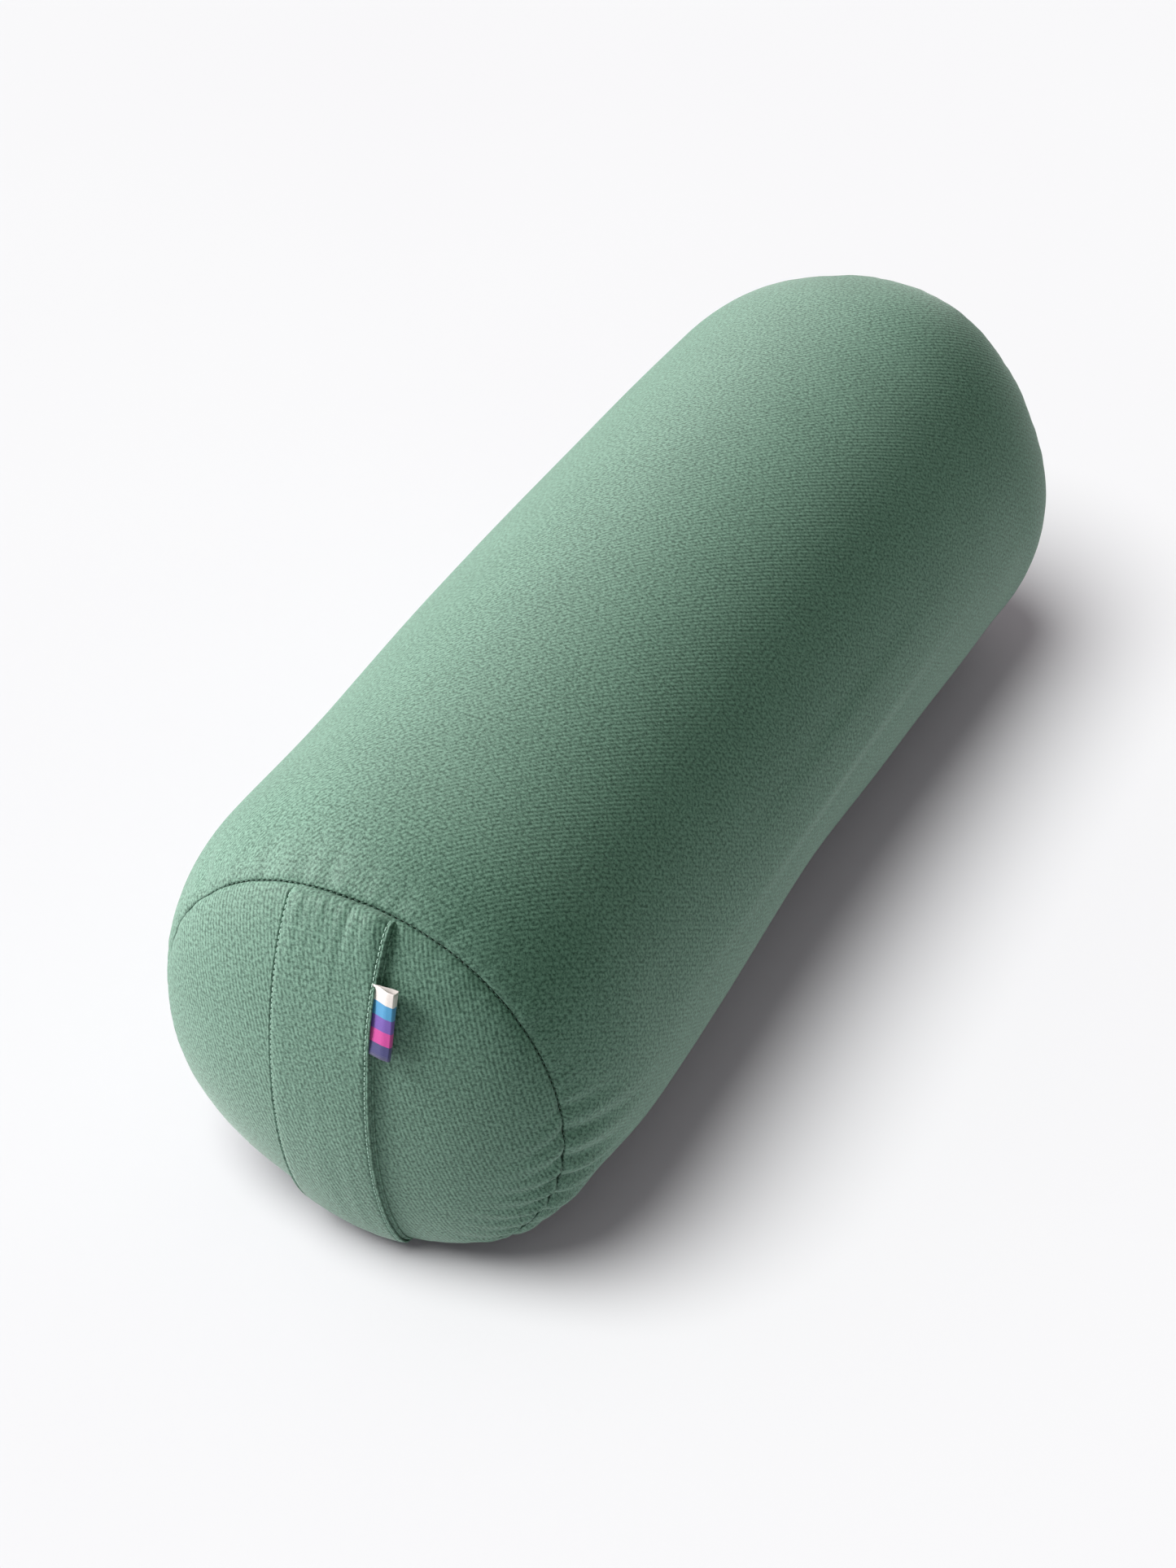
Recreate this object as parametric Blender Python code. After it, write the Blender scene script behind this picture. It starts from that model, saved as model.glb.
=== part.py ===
"""A round bolster pillow lying on its side: a zipped cotton cover with a carry strap and a folded
label tab on its front end, over a zipped inner bag and its filling.

Metres, +Z up. The long axis runs along Y, the strap end faces -Y, and Z = 0 is the surface that the
bolster lies on. Every layer is turned about the same axis and flattened where it rests.
"""

import math

import bmesh
import bpy
from mathutils import Vector

# Overall shape
BODY_RADIUS = 0.110  # round the tube
SEAM_LENGTH = 0.538  # between the two end seams
SEAM_RADIUS = 0.0968  # of each end seam
SHOULDER = 0.055  # length over which the tube draws in to the seam
END_CROWN = 0.028  # how far an end panel stands out past its seam
REST_FLAT = 0.008  # how far the underside is pressed flat
ROUNDNESS = 0.7  # exponent of the crown and shoulder curves: 0.5 is an ellipse, 1 a parabola
SMOOTH_ANGLE = math.radians(35)  # edges flatter than this are shaded smooth
FACETS = 40  # round the axis, a multiple of four so that vertices lie at the top and the sides
COVER_ROWS = 8, 5  # of faces, along a crown and along a shoulder
INNER_ROWS = 5, 3

# Cloth layers
COVER_CLOTH = 0.0012
LINER_CLOTH = 0.0008
MESH_GAP = 0.0003  # between pieces that touch
LAYER_CLEARANCE = 0.0008  # between a zip's highest or deepest point and the next layer

# Carry strap
STRAP_WIDTH = 0.048
STRAP_LIFT = 0.0006  # from the end panel to the inner ply
STRAP_PLY = 0.0010
STRAP_PLY_GAP = 0.0012  # the label's root is sewn in here

# Label tab, folded over at its free edge
LABEL_HEIGHT = 0.034
LABEL_REACH = 0.0115
LABEL_RIBBON = 0.00035
LABEL_FOLD_GAP = 0.0004
LABEL_MIDDLE = 0.058  # height of its middle over the bolster's axis

# Care label, sewn flat inside the cover beside the zip
CARE_LABEL_LENGTH = 0.030
CARE_LABEL_FACETS = 2  # how far it reaches round the tube
CARE_LABEL_THICKNESS = 0.0004

# Both zips
ZIP_FACET = 1.5  # facets above the horizontal, so a zip lies in the middle of a flat facet
ZIP_END_MARGIN = 0.020  # from each end of the slot to where the shoulder starts
SLIDER_RUN = 0.00030  # running clearance of a slider on its coils and tapes
COIL_SLIT_HALF = 0.0006  # half the slit between the coils, where the slider's post runs
COIL_BEVEL = 0.0004
STOP_LENGTH = 0.004
STOP_BEVEL = 0.0003
PULL_SHARE = 0.8  # of a plate's thickness, and so are the three below
FLANGE_SHARE = 0.7
BRIDGE_BAR_SHARE = 0.8
BRIDGE_HALF_WIDTH_SHARE = 0.9
SLIDER_LENGTH_SHARE = 2.6  # of the slider's half width
BRIDGE_HALF_LENGTH_SHARE = 0.3  # of the slider's length
PULL_WIDTH_SHARE = 0.85  # of the slider's width
POST_PLATES = 2  # a slider's post is this many plates long, and one plate from its end
JOIN_SHARE = 0.25  # of a plate's thickness, which a slider's shapes share where they join
SLOT_CUT_CLOTHS = 4  # the slot's cutter reaches this many cloths either way

AXIS_HEIGHT = BODY_RADIUS - REST_FLAT
FACET_ANGLE = 2 * math.pi / FACETS
ZIP_LENGTH = SEAM_LENGTH - 2 * SHOULDER - 2 * ZIP_END_MARGIN


class ZipSize:
    """Sizes of one zip. Heights are measured outwards from the cloth's outer face at the zip."""

    def __init__(self, cloth, cloth_radius, tape_width, tape, coil_width, coil_height, plate):
        self.cloth = cloth
        self.tape_width = tape_width
        self.tape = tape
        self.coil_outer = COIL_SLIT_HALF + coil_width
        self.plate = plate
        facet_half = (cloth_radius - cloth) * math.sin(FACET_ANGLE / 2)
        fall = max(0.0, tape_width - facet_half) * math.tan(FACET_ANGLE)
        self.tape_top = -(cloth + fall + MESH_GAP)
        self.tape_bottom = self.tape_top - tape
        self.coil_bottom = self.tape_top + MESH_GAP
        self.coil_top = self.coil_bottom + coil_height
        self.plate_bottom = self.coil_top + SLIDER_RUN
        self.plate_top = self.plate_bottom + plate
        self.under_top = self.tape_bottom - SLIDER_RUN
        self.under_bottom = self.under_top - plate
        self.flange_inner = self.coil_outer + SLIDER_RUN
        self.slider_half = self.flange_inner + FLANGE_SHARE * plate
        self.slider_length = SLIDER_LENGTH_SHARE * self.slider_half
        self.slot_half = self.slider_half + 2 * SLIDER_RUN
        self.pull = PULL_SHARE * plate
        self.bar_height = self.plate_top + self.pull
        self.bridge_bottom = self.bar_height + self.pull / 2 + SLIDER_RUN
        self.bridge_top = self.bridge_bottom + BRIDGE_BAR_SHARE * plate
        self.bridge_half_width = BRIDGE_HALF_WIDTH_SHARE * plate
        self.bridge_half_length = BRIDGE_HALF_LENGTH_SHARE * self.slider_length


COVER_ZIP = ZipSize(
    cloth=COVER_CLOTH,
    cloth_radius=BODY_RADIUS,
    tape_width=0.014,
    tape=0.0006,
    coil_width=0.0027,
    coil_height=0.0022,
    plate=0.0009,
)
COVER_ZIP_ROOM = LAYER_CLEARANCE - COVER_ZIP.under_bottom - COVER_CLOTH
LINER_ZIP = ZipSize(
    cloth=LINER_CLOTH,
    cloth_radius=BODY_RADIUS - COVER_CLOTH - COVER_ZIP_ROOM,
    tape_width=0.009,
    tape=0.0005,
    coil_width=0.0020,
    coil_height=0.0015,
    plate=0.0007,
)
COVER_PULL_LENGTH = 0.022
LINER_PULL_LENGTH = 0.016

LINER_GAP = max(COVER_ZIP_ROOM, LINER_ZIP.bridge_top + LAYER_CLEARANCE)
LINER_INSET = COVER_CLOTH + LINER_GAP
FILLING_INSET = LINER_INSET - LINER_ZIP.under_bottom + LAYER_CLEARANCE
LINER_FLOOR = COVER_CLOTH + MESH_GAP
FILLING_FLOOR = LINER_FLOOR + LINER_CLOTH + MESH_GAP

COLOURS = {
    "cover_twill": ("7F9F8F", 0.88, 0.0),
    "strap_twill": ("7A9A8A", 0.88, 0.0),
    "label_ribbon": ("8F7FB8", 0.60, 0.0),
    "care_satin": ("EDEBE4", 0.55, 0.0),
    "zip_tape": ("6F8F7F", 0.85, 0.0),
    "zip_coil": ("7C9A8B", 0.40, 0.0),
    "zip_metal": ("8C9A93", 0.38, 1.0),
    "liner_calico": ("E6DFCF", 0.92, 0.0),
    "liner_zip_tape": ("E2DCCC", 0.88, 0.0),
    "liner_zip_coil": ("D8D2C2", 0.45, 0.0),
    "filling_fibre": ("D9CBA6", 0.95, 0.0),
}


def linear(channel):
    return channel / 12.92 if channel <= 0.04045 else ((channel + 0.055) / 1.055) ** 2.4


def make_material(name):
    """A Principled material from COLOURS: sRGB hex, roughness, metallic."""
    code, roughness, metallic = COLOURS[name]
    rgb = [linear(int(code[i : i + 2], 16) / 255) for i in (0, 2, 4)]
    material = bpy.data.materials.new(name)
    material.use_nodes = True
    shader = material.node_tree.nodes["Principled BSDF"]
    shader.inputs["Base Color"].default_value = (*rgb, 1.0)
    shader.inputs["Roughness"].default_value = roughness
    shader.inputs["Metallic"].default_value = metallic
    material.diffuse_color = (*rgb, 1.0)
    return material


def add_object(name, mesh_or_none, material=None, parent=None):
    obj = bpy.data.objects.new(name, mesh_or_none)
    bpy.context.scene.collection.objects.link(obj)
    if material:
        obj.data.materials.append(bpy.data.materials.get(material) or make_material(material))
    obj.parent = parent
    return obj


def add_bmesh(name, bm, material, parent=None, smooth=False):
    mesh = bpy.data.meshes.new(name)
    bm.to_mesh(mesh)
    bm.free()
    if smooth:
        mesh.shade_smooth()
        mesh.set_sharp_from_angle(angle=SMOOTH_ANGLE)
    return add_object(name, mesh, material, parent)


def add_solidify(obj, thickness, outwards):
    solidify = obj.modifiers.new("Cloth", "SOLIDIFY")
    solidify.thickness = thickness
    solidify.offset = 1.0 if outwards else -1.0
    solidify.use_even_offset = True


def add_boolean(obj, helper, operation):
    helper.hide_render = True
    helper.display_type = "WIRE"
    boolean = obj.modifiers.new(helper.name, "BOOLEAN")
    boolean.object = helper
    boolean.operation = operation
    boolean.solver = "EXACT"


def box_bmesh(low, high):
    bm = bmesh.new()
    bmesh.ops.create_cube(bm, size=1.0)
    low, high = Vector(low), Vector(high)
    bmesh.ops.scale(bm, vec=high - low, verts=bm.verts)
    bmesh.ops.translate(bm, vec=(low + high) / 2, verts=bm.verts)
    return bm


def add_box(name, low, high, material, parent=None, bevel=0.0):
    obj = add_bmesh(name, box_bmesh(low, high), material, parent)
    if bevel:
        rounding = obj.modifiers.new("Edges", "BEVEL")
        rounding.width = bevel
        rounding.segments = 1
    return obj


# ---- Outline of a layer -------------------------------------------------------------------------


def crown_outline(inset, rows):
    """(radius, y) from the pole of the front end panel to its seam, this far inside the cover."""
    points = []
    for row in range(rows + 1):
        share = math.sin(row / rows * math.pi / 2)
        rise = END_CROWN * (1 - share * share) ** ROUNDNESS if row < rows else 0.0
        points.append((share * (SEAM_RADIUS - inset), inset - SEAM_LENGTH / 2 - rise))
    return points


def shoulder_outline(inset, rows):
    """(radius, y) from the front seam to where the tube reaches its full radius."""
    points = []
    for row in range(rows + 1):
        left = math.cos(row / rows * math.pi / 2)
        share = (1 - left * left) ** ROUNDNESS
        radius = SEAM_RADIUS + (BODY_RADIUS - SEAM_RADIUS) * share - inset
        points.append((radius, inset - SEAM_LENGTH / 2 + SHOULDER * (1 - left)))
    return points


def rear_side(points):
    return [(radius, -y) for radius, y in reversed(points)]


def turned_bmesh(points, floor):
    """The outline turned about the bolster's axis, pressed flat at the floor, faces outwards."""
    bm = bmesh.new()
    verts = [bm.verts.new((radius, y, AXIS_HEIGHT)) for radius, y in points]
    edges = [bm.edges.new(pair) for pair in zip(verts, verts[1:])]
    bmesh.ops.spin(
        bm,
        geom=verts + edges,
        cent=(0, 0, AXIS_HEIGHT),
        axis=(0, 1, 0),
        angle=2 * math.pi,
        steps=FACETS,
    )
    bmesh.ops.remove_doubles(bm, verts=bm.verts, dist=1e-6)
    middle = Vector((0, 0, AXIS_HEIGHT))
    bm.normal_update()
    inwards = [f for f in bm.faces if f.normal.dot(f.calc_center_median() - middle) < 0]
    bmesh.ops.reverse_faces(bm, faces=inwards)
    for vert in bm.verts:
        vert.co.z = max(vert.co.z, floor)
    return bm


def make_shell(name, points, floor, cloth, material):
    obj = add_bmesh(name, turned_bmesh(points, floor), material, smooth=True)
    add_solidify(obj, cloth, outwards=False)
    return obj


def make_bag(prefix, inset, floor, cloth, rows, material):
    """A tube and two end panels, a seam's gap apart. Returns the tube."""
    crown_rows, shoulder_rows = rows
    front = [(radius, y - MESH_GAP) for radius, y in crown_outline(inset, crown_rows)]
    shoulder = shoulder_outline(inset, shoulder_rows)
    tube = make_shell(f"{prefix}_tube", shoulder + rear_side(shoulder), floor, cloth, material)
    make_shell(f"{prefix}_end_front", front, floor, cloth, material)
    make_shell(f"{prefix}_end_rear", rear_side(front), floor, cloth, material)
    return tube


def make_filling():
    crown_rows, shoulder_rows = INNER_ROWS
    crown = crown_outline(FILLING_INSET, crown_rows)
    half = crown + shoulder_outline(FILLING_INSET, shoulder_rows)[1:]
    bm = turned_bmesh(half + rear_side(half), FILLING_FLOOR)
    add_bmesh("filling", bm, "filling_fibre", smooth=True)


# ---- Zips ---------------------------------------------------------------------------------------


def zip_frame(prefix, inset, side):
    """An empty on the cloth's outer face: its X runs round the tube, Y along it, Z outwards."""
    height = ZIP_FACET * FACET_ANGLE
    reach = (BODY_RADIUS - inset) * math.cos(FACET_ANGLE / 2)
    frame = add_object(f"{prefix}_zip_frame", None)
    frame.location = (
        side * reach * math.cos(height),
        0,
        AXIS_HEIGHT + reach * math.sin(height),
    )
    frame.rotation_euler = (0, side * (math.pi / 2 - height), 0)
    return frame


def cut_slot(tube, frame, size):
    depth = SLOT_CUT_CLOTHS * size.cloth
    slot = add_box(
        f"{tube.name}_slot_cutter",
        (-size.slot_half, -ZIP_LENGTH / 2, -depth),
        (size.slot_half, ZIP_LENGTH / 2, depth),
        None,
        parent=frame,
    )
    add_boolean(tube, slot, "DIFFERENCE")


def make_chain(prefix, frame, side, size):
    """Two tapes, two coils, a top stop on each tape, and a bottom stop across both."""
    tape_material = "zip_tape" if prefix == "cover" else "liner_zip_tape"
    coil_material = "zip_coil" if prefix == "cover" else "liner_zip_coil"
    tape_end = ZIP_LENGTH / 2 + ZIP_END_MARGIN / 2
    stop_end = ZIP_LENGTH / 2 - MESH_GAP
    stop_start = stop_end - STOP_LENGTH
    coil_end = stop_start - MESH_GAP
    for word, across in (("upper", -side), ("lower", side)):
        inner, outer = sorted((across * COIL_SLIT_HALF, across * size.tape_width))
        add_box(
            f"{prefix}_zip_tape_{word}",
            (inner, -tape_end, size.tape_bottom),
            (outer, tape_end, size.tape_top),
            tape_material,
            frame,
        )
        inner, outer = sorted((across * COIL_SLIT_HALF, across * size.coil_outer))
        add_box(
            f"{prefix}_zip_coil_{word}",
            (inner, -coil_end, size.coil_bottom),
            (outer, coil_end, size.coil_top),
            coil_material,
            frame,
            bevel=COIL_BEVEL,
        )
        add_box(
            f"{prefix}_zip_top_stop_{word}",
            (inner, stop_start, size.coil_bottom),
            (outer, stop_end, size.coil_top),
            "zip_metal",
            frame,
            bevel=STOP_BEVEL,
        )
    add_box(
        f"{prefix}_zip_bottom_stop",
        (-size.coil_outer, -stop_end, size.coil_bottom),
        (size.coil_outer, -stop_start, size.coil_top),
        "zip_metal",
        frame,
        bevel=STOP_BEVEL,
    )


def slider_place(size):
    """Y of a closed zip's slider, drawn up to the top stops at the rear."""
    return ZIP_LENGTH / 2 - STOP_LENGTH - size.slider_length / 2 - 2 * MESH_GAP


def make_slider(prefix, frame, size):
    """Two plates round the coils and tapes, joined by a post in the slit, with a bridge on top."""
    half, long_half = size.slider_half, size.slider_length / 2
    place = (0, slider_place(size), 0)
    slider = add_box(
        f"{prefix}_zip_slider",
        (-half, -long_half, size.plate_bottom),
        (half, long_half, size.plate_top),
        "zip_metal",
        frame,
    )
    slider.location = place
    overlap = JOIN_SHARE * size.plate
    post_end = long_half - size.plate
    post_half = COIL_SLIT_HALF - SLIDER_RUN
    bridge_end = size.bridge_half_length - size.plate
    flange_bottom = size.tape_top + SLIDER_RUN
    width = size.bridge_half_width
    shapes = [
        ("under_plate", (-half, -long_half, size.under_bottom), (half, long_half, size.under_top)),
        (
            "post",
            (-post_half, post_end - POST_PLATES * size.plate, size.under_bottom + overlap),
            (post_half, post_end, size.plate_top - overlap),
        ),
        (
            "flange_upper",
            (size.flange_inner, -long_half, flange_bottom),
            (half, long_half, size.plate_top - overlap),
        ),
        (
            "flange_lower",
            (-half, -long_half, flange_bottom),
            (-size.flange_inner, long_half, size.plate_top - overlap),
        ),
        (
            "bridge_front",
            (-width, -size.bridge_half_length, size.plate_top - overlap),
            (width, -bridge_end, size.bridge_top),
        ),
        (
            "bridge_rear",
            (-width, bridge_end, size.plate_top - overlap),
            (width, size.bridge_half_length, size.bridge_top),
        ),
        (
            "bridge_bar",
            (-width, -bridge_end - overlap, size.bridge_bottom),
            (width, bridge_end + overlap, size.bridge_top),
        ),
    ]
    for word, low, high in shapes:
        helper = add_box(f"{prefix}_slider_{word}", low, high, None, frame)
        helper.location = place
        add_boolean(slider, helper, "UNION")


def make_pull(prefix, frame, size, length):
    """A flat tab whose end bar turns in the slider's bridge. Its origin is on the hinge's axis."""
    half = PULL_WIDTH_SHARE * size.slider_half
    bar = size.pull / 2
    eye = size.bridge_half_width + 2 * SLIDER_RUN
    eye_end = math.hypot(size.bridge_half_length, size.bridge_top - size.bar_height) + bar
    place = (0, slider_place(size), size.bar_height)
    pull = add_box(
        f"{prefix}_zip_pull", (-half, -bar, -bar), (half, length, bar), "zip_metal", frame
    )
    pull.location = place
    hole = add_box(
        f"{prefix}_pull_eye_cutter", (-eye, bar, -2 * bar), (eye, eye_end + bar, 2 * bar), None, frame
    )
    hole.location = place
    add_boolean(pull, hole, "DIFFERENCE")


def make_zip(prefix, tube, inset, side, size, pull_length):
    frame = zip_frame(prefix, inset, side)
    cut_slot(tube, frame, size)
    make_chain(prefix, frame, side, size)
    make_slider(prefix, frame, size)
    make_pull(prefix, frame, size, pull_length)


# ---- Trim ---------------------------------------------------------------------------------------


def strap_route(lift):
    """(y, z) down the front end panel from the top seam to the bottom one, this far off it."""
    crown = crown_outline(0.0, COVER_ROWS[0])
    upper = [Vector((y, AXIS_HEIGHT + radius)) for radius, y in reversed(crown)]
    lower = [Vector((y, AXIS_HEIGHT - radius)) for radius, y in crown[1:]]
    middle = upper + lower
    route = []
    for i, point in enumerate(middle):
        along = middle[min(i + 1, len(middle) - 1)] - middle[max(i - 1, 0)]
        if i in (0, len(middle) - 1):
            outwards = Vector((0, 1 if i == 0 else -1))
        else:
            outwards = Vector((along.y, -along.x)).normalized()
        route.append(point + outwards * lift)
    for end in (0, -1):
        route[end].x = -SEAM_LENGTH / 2 - 2 * MESH_GAP
    return route


def make_strap_ply(name, lift):
    bm = bmesh.new()
    verts = [bm.verts.new((-STRAP_WIDTH / 2, y, z)) for y, z in strap_route(lift)]
    edges = [bm.edges.new(pair) for pair in zip(verts, verts[1:])]
    grown = bmesh.ops.extrude_edge_only(bm, edges=edges)
    far = [item for item in grown["geom"] if isinstance(item, bmesh.types.BMVert)]
    bmesh.ops.translate(bm, vec=(STRAP_WIDTH, 0, 0), verts=far)
    bm.normal_update()
    bmesh.ops.reverse_faces(bm, faces=[f for f in bm.faces if f.normal.y > 0])
    ply = add_bmesh(name, bm, "strap_twill", smooth=True)
    add_solidify(ply, STRAP_PLY, outwards=True)


def crown_point(height):
    """(y, z) on the front end panel's middle line, this high over the axis."""
    share = height / SEAM_RADIUS
    return Vector(
        (-SEAM_LENGTH / 2 - END_CROWN * (1 - share * share) ** ROUNDNESS, AXIS_HEIGHT + height)
    )


def make_label():
    """A ribbon folded on itself, standing out from the strap's right-hand edge, where it turns."""
    low = crown_point(LABEL_MIDDLE - LABEL_HEIGHT / 2)
    high = crown_point(LABEL_MIDDLE + LABEL_HEIGHT / 2)
    along = (high - low).normalized()
    outwards = Vector((-along.y, along.x))
    if outwards.x > 0:
        outwards = -outwards
    root_lift = STRAP_LIFT + STRAP_PLY + STRAP_PLY_GAP / 2
    middle = (low + high) / 2 + outwards * root_lift
    label_half = LABEL_RIBBON + LABEL_FOLD_GAP / 2
    label = add_box(
        "label_tab",
        (0, -LABEL_HEIGHT / 2, -label_half),
        (LABEL_REACH, LABEL_HEIGHT / 2, label_half),
        "label_ribbon",
    )
    slit = add_box(
        "label_slit_cutter",
        (-LABEL_REACH, -LABEL_HEIGHT, -LABEL_FOLD_GAP / 2),
        (LABEL_REACH - LABEL_RIBBON, LABEL_HEIGHT, LABEL_FOLD_GAP / 2),
        None,
    )
    for obj in (label, slit):
        obj.location = (STRAP_WIDTH / 2 + MESH_GAP, middle.x, middle.y)
        obj.rotation_euler = (math.atan2(along.y, along.x), 0, 0)
    add_boolean(label, slit, "DIFFERENCE")


def make_care_label():
    """A blank piece of satin, bent round the tube between the cover and the inner bag."""
    radius = BODY_RADIUS - COVER_CLOTH - LINER_GAP / 2
    start = math.pi  # level with the axis on the zip's side
    inner, outer = radius - CARE_LABEL_THICKNESS / 2, radius + CARE_LABEL_THICKNESS / 2
    bm = bmesh.new()
    half = CARE_LABEL_LENGTH / 2
    corners = [(inner, -half), (outer, -half), (outer, half), (inner, half)]
    verts = [bm.verts.new((r * math.cos(start), y, AXIS_HEIGHT)) for r, y in corners]
    face = bm.faces.new(verts)
    bmesh.ops.spin(
        bm,
        geom=[face],
        cent=(0, 0, AXIS_HEIGHT),
        axis=(0, -1, 0),
        angle=CARE_LABEL_FACETS * FACET_ANGLE,
        steps=CARE_LABEL_FACETS,
    )
    bmesh.ops.recalc_face_normals(bm, faces=bm.faces)
    add_bmesh("care_label", bm, "care_satin")


def main():
    for obj in list(bpy.data.objects):
        bpy.data.objects.remove(obj, do_unlink=True)
    cover = make_bag("cover", 0.0, 0.0, COVER_CLOTH, COVER_ROWS, "cover_twill")
    liner = make_bag(
        "liner", LINER_INSET, LINER_FLOOR, LINER_CLOTH, INNER_ROWS, "liner_calico"
    )
    make_filling()
    make_zip("cover", cover, 0.0, -1, COVER_ZIP, COVER_PULL_LENGTH)
    make_zip("liner", liner, LINER_INSET, 1, LINER_ZIP, LINER_PULL_LENGTH)
    make_strap_ply("strap_inner_ply", STRAP_LIFT)
    make_strap_ply("strap_outer_ply", STRAP_LIFT + STRAP_PLY + STRAP_PLY_GAP)
    make_label()
    make_care_label()


main()
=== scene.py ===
import math
import random

import bpy
import numpy as np
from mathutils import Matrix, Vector
from mathutils.bvhtree import BVHTree


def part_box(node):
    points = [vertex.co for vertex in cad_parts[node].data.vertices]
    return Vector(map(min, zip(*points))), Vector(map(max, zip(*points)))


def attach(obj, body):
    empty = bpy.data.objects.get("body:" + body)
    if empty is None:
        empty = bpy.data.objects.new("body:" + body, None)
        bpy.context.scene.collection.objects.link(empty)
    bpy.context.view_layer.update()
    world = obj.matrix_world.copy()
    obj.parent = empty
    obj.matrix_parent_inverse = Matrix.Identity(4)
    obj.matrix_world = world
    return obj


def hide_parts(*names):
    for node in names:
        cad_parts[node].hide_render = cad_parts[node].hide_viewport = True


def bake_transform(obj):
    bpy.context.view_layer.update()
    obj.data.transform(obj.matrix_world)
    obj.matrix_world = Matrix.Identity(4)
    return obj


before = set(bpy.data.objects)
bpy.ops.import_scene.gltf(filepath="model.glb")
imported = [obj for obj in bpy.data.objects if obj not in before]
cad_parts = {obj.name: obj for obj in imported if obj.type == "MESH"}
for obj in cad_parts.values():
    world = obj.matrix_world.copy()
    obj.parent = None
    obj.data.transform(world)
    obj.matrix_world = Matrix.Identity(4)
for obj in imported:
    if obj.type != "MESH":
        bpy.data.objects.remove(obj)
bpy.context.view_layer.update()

MM = 0.001

# ---- The bolster's own sizes, as its cloth is cut ------------------------------------------------

AXIS_HEIGHT = 0.102
BODY_RADIUS = 0.110
SEAM_RADIUS = 0.0968
HALF_SEAM = 0.269
SHOULDER = 0.055
END_CROWN = 0.028
ROUNDNESS = 0.7
CENTRE = Vector((0, 0, AXIS_HEIGHT))

CLOTH = 1.0 * MM
CALICO = 0.7 * MM
LINER_INSET = 5.27 * MM
FILLING_INSET = 8.8 * MM

SEAM_PULL = 0.9 * MM  # how far the stitching draws an end seam into the filling
SEAM_PULL_REACH = 2.4 * MM
SEAM_GAP = 0.2 * MM

COVER_ZIP_ANGLE = math.radians(180 - 13.5)
LINER_ZIP_ANGLE = math.radians(13.5)
ZIP_FACET_RADIUS = BODY_RADIUS * math.cos(math.radians(4.5))
ZIP_HALF = 0.194
COVER_SLOT_HALF = 4.83 * MM
LINER_SLOT_HALF = 3.93 * MM

STRAP_HALF = 24 * MM
STRAP_SHIFT = -1.8 * MM
STRAP_PLY = 0.9 * MM
RIBBON = 0.3 * MM
LABEL_HEIGHT = 31.5 * MM
LABEL_AT = 56.5 * MM  # from the strap's middle up to the label's


# ---- Small tools ---------------------------------------------------------------------------------


def bell(x, width):
    return np.exp(-((x / width) ** 2) / 2)


def turn(angle, centre):
    """The signed turn in radians from centre to angle, from -pi to pi."""
    return (angle - centre + math.pi) % (2 * math.pi) - math.pi


def deselect():
    bpy.ops.object.select_all(action="DESELECT")


def activate(obj):
    deselect()
    obj.select_set(True)
    bpy.context.view_layer.objects.active = obj


def apply_modifiers(obj):
    activate(obj)
    for modifier in list(obj.modifiers):
        bpy.ops.object.modifier_apply(modifier=modifier.name)


def smooth(obj, angle):
    activate(obj)
    bpy.ops.object.shade_smooth_by_angle(angle=math.radians(angle))


def new_object(name, data):
    made = bpy.data.objects.new(name, data)
    bpy.context.scene.collection.objects.link(made)
    return made


def edit_all(*steps):
    """Runs mesh operators in edit mode on all of the active piece's mesh."""
    bpy.ops.object.mode_set(mode="EDIT")
    bpy.ops.mesh.select_all(action="SELECT")
    for step, settings in steps:
        step(**settings)
    bpy.ops.object.mode_set(mode="OBJECT")


def solid_piece(name, verts, faces, angle):
    """A piece from lists of points and faces, facing outwards and smooth below this angle."""
    mesh = bpy.data.meshes.new(name)
    mesh.from_pydata(verts, [], faces)
    mesh.update()
    obj = new_object(name, mesh)
    activate(obj)
    edit_all((bpy.ops.mesh.normals_make_consistent, {"inside": False}))
    smooth(obj, angle)
    return obj


def shape_of(obj):
    """A mesh's points and faces as arrays; its object is removed."""
    points = np.array([v.co for v in obj.data.vertices])
    faces = [list(p.vertices) for p in obj.data.polygons]
    bpy.data.objects.remove(obj)
    return points, faces


def finish_piece(obj, body, material, replaced=()):
    """Gives a piece its material, the body it rides on and the CAD nodes it replaces."""
    obj.data.materials.clear()
    obj.data.materials.append(material)
    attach(obj, body)
    if replaced:
        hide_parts(*replaced)
    return obj


# ---- Materials -----------------------------------------------------------------------------------


def linear(code):
    """sRGB hex to linear red, green, blue and alpha."""
    parts = [int(code[i : i + 2], 16) / 255 for i in (0, 2, 4)]
    return [c / 12.92 if c <= 0.04045 else ((c + 0.055) / 1.055) ** 2.4 for c in parts] + [1.0]


def add_node(tree, kind, inputs=None, **settings):
    """Adds a shader node. inputs maps a socket's name or number to a value or another's socket."""
    made = tree.nodes.new("ShaderNode" + kind)
    for name, value in settings.items():
        setattr(made, name, value)
    for socket, value in (inputs or {}).items():
        if isinstance(value, bpy.types.NodeSocket):
            tree.links.new(value, made.inputs[socket])
        else:
            made.inputs[socket].default_value = value
    return made


def new_material(name):
    material = bpy.data.materials.new(name)
    material.use_nodes = True
    material.node_tree.nodes.clear()
    return material, material.node_tree


def close_material(tree, colour, relief, inputs):
    """Ends a material. relief is a height, its strength and its depth, or None."""
    inputs["Base Color"] = colour
    if relief:
        height, strength, depth = relief
        bump = add_node(tree, "Bump", {"Height": height, "Strength": strength, "Distance": depth})
        inputs["Normal"] = bump.outputs[0]
    shader = add_node(tree, "BsdfPrincipled", inputs)
    add_node(tree, "OutputMaterial", {"Surface": shader.outputs["BSDF"]})


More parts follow.
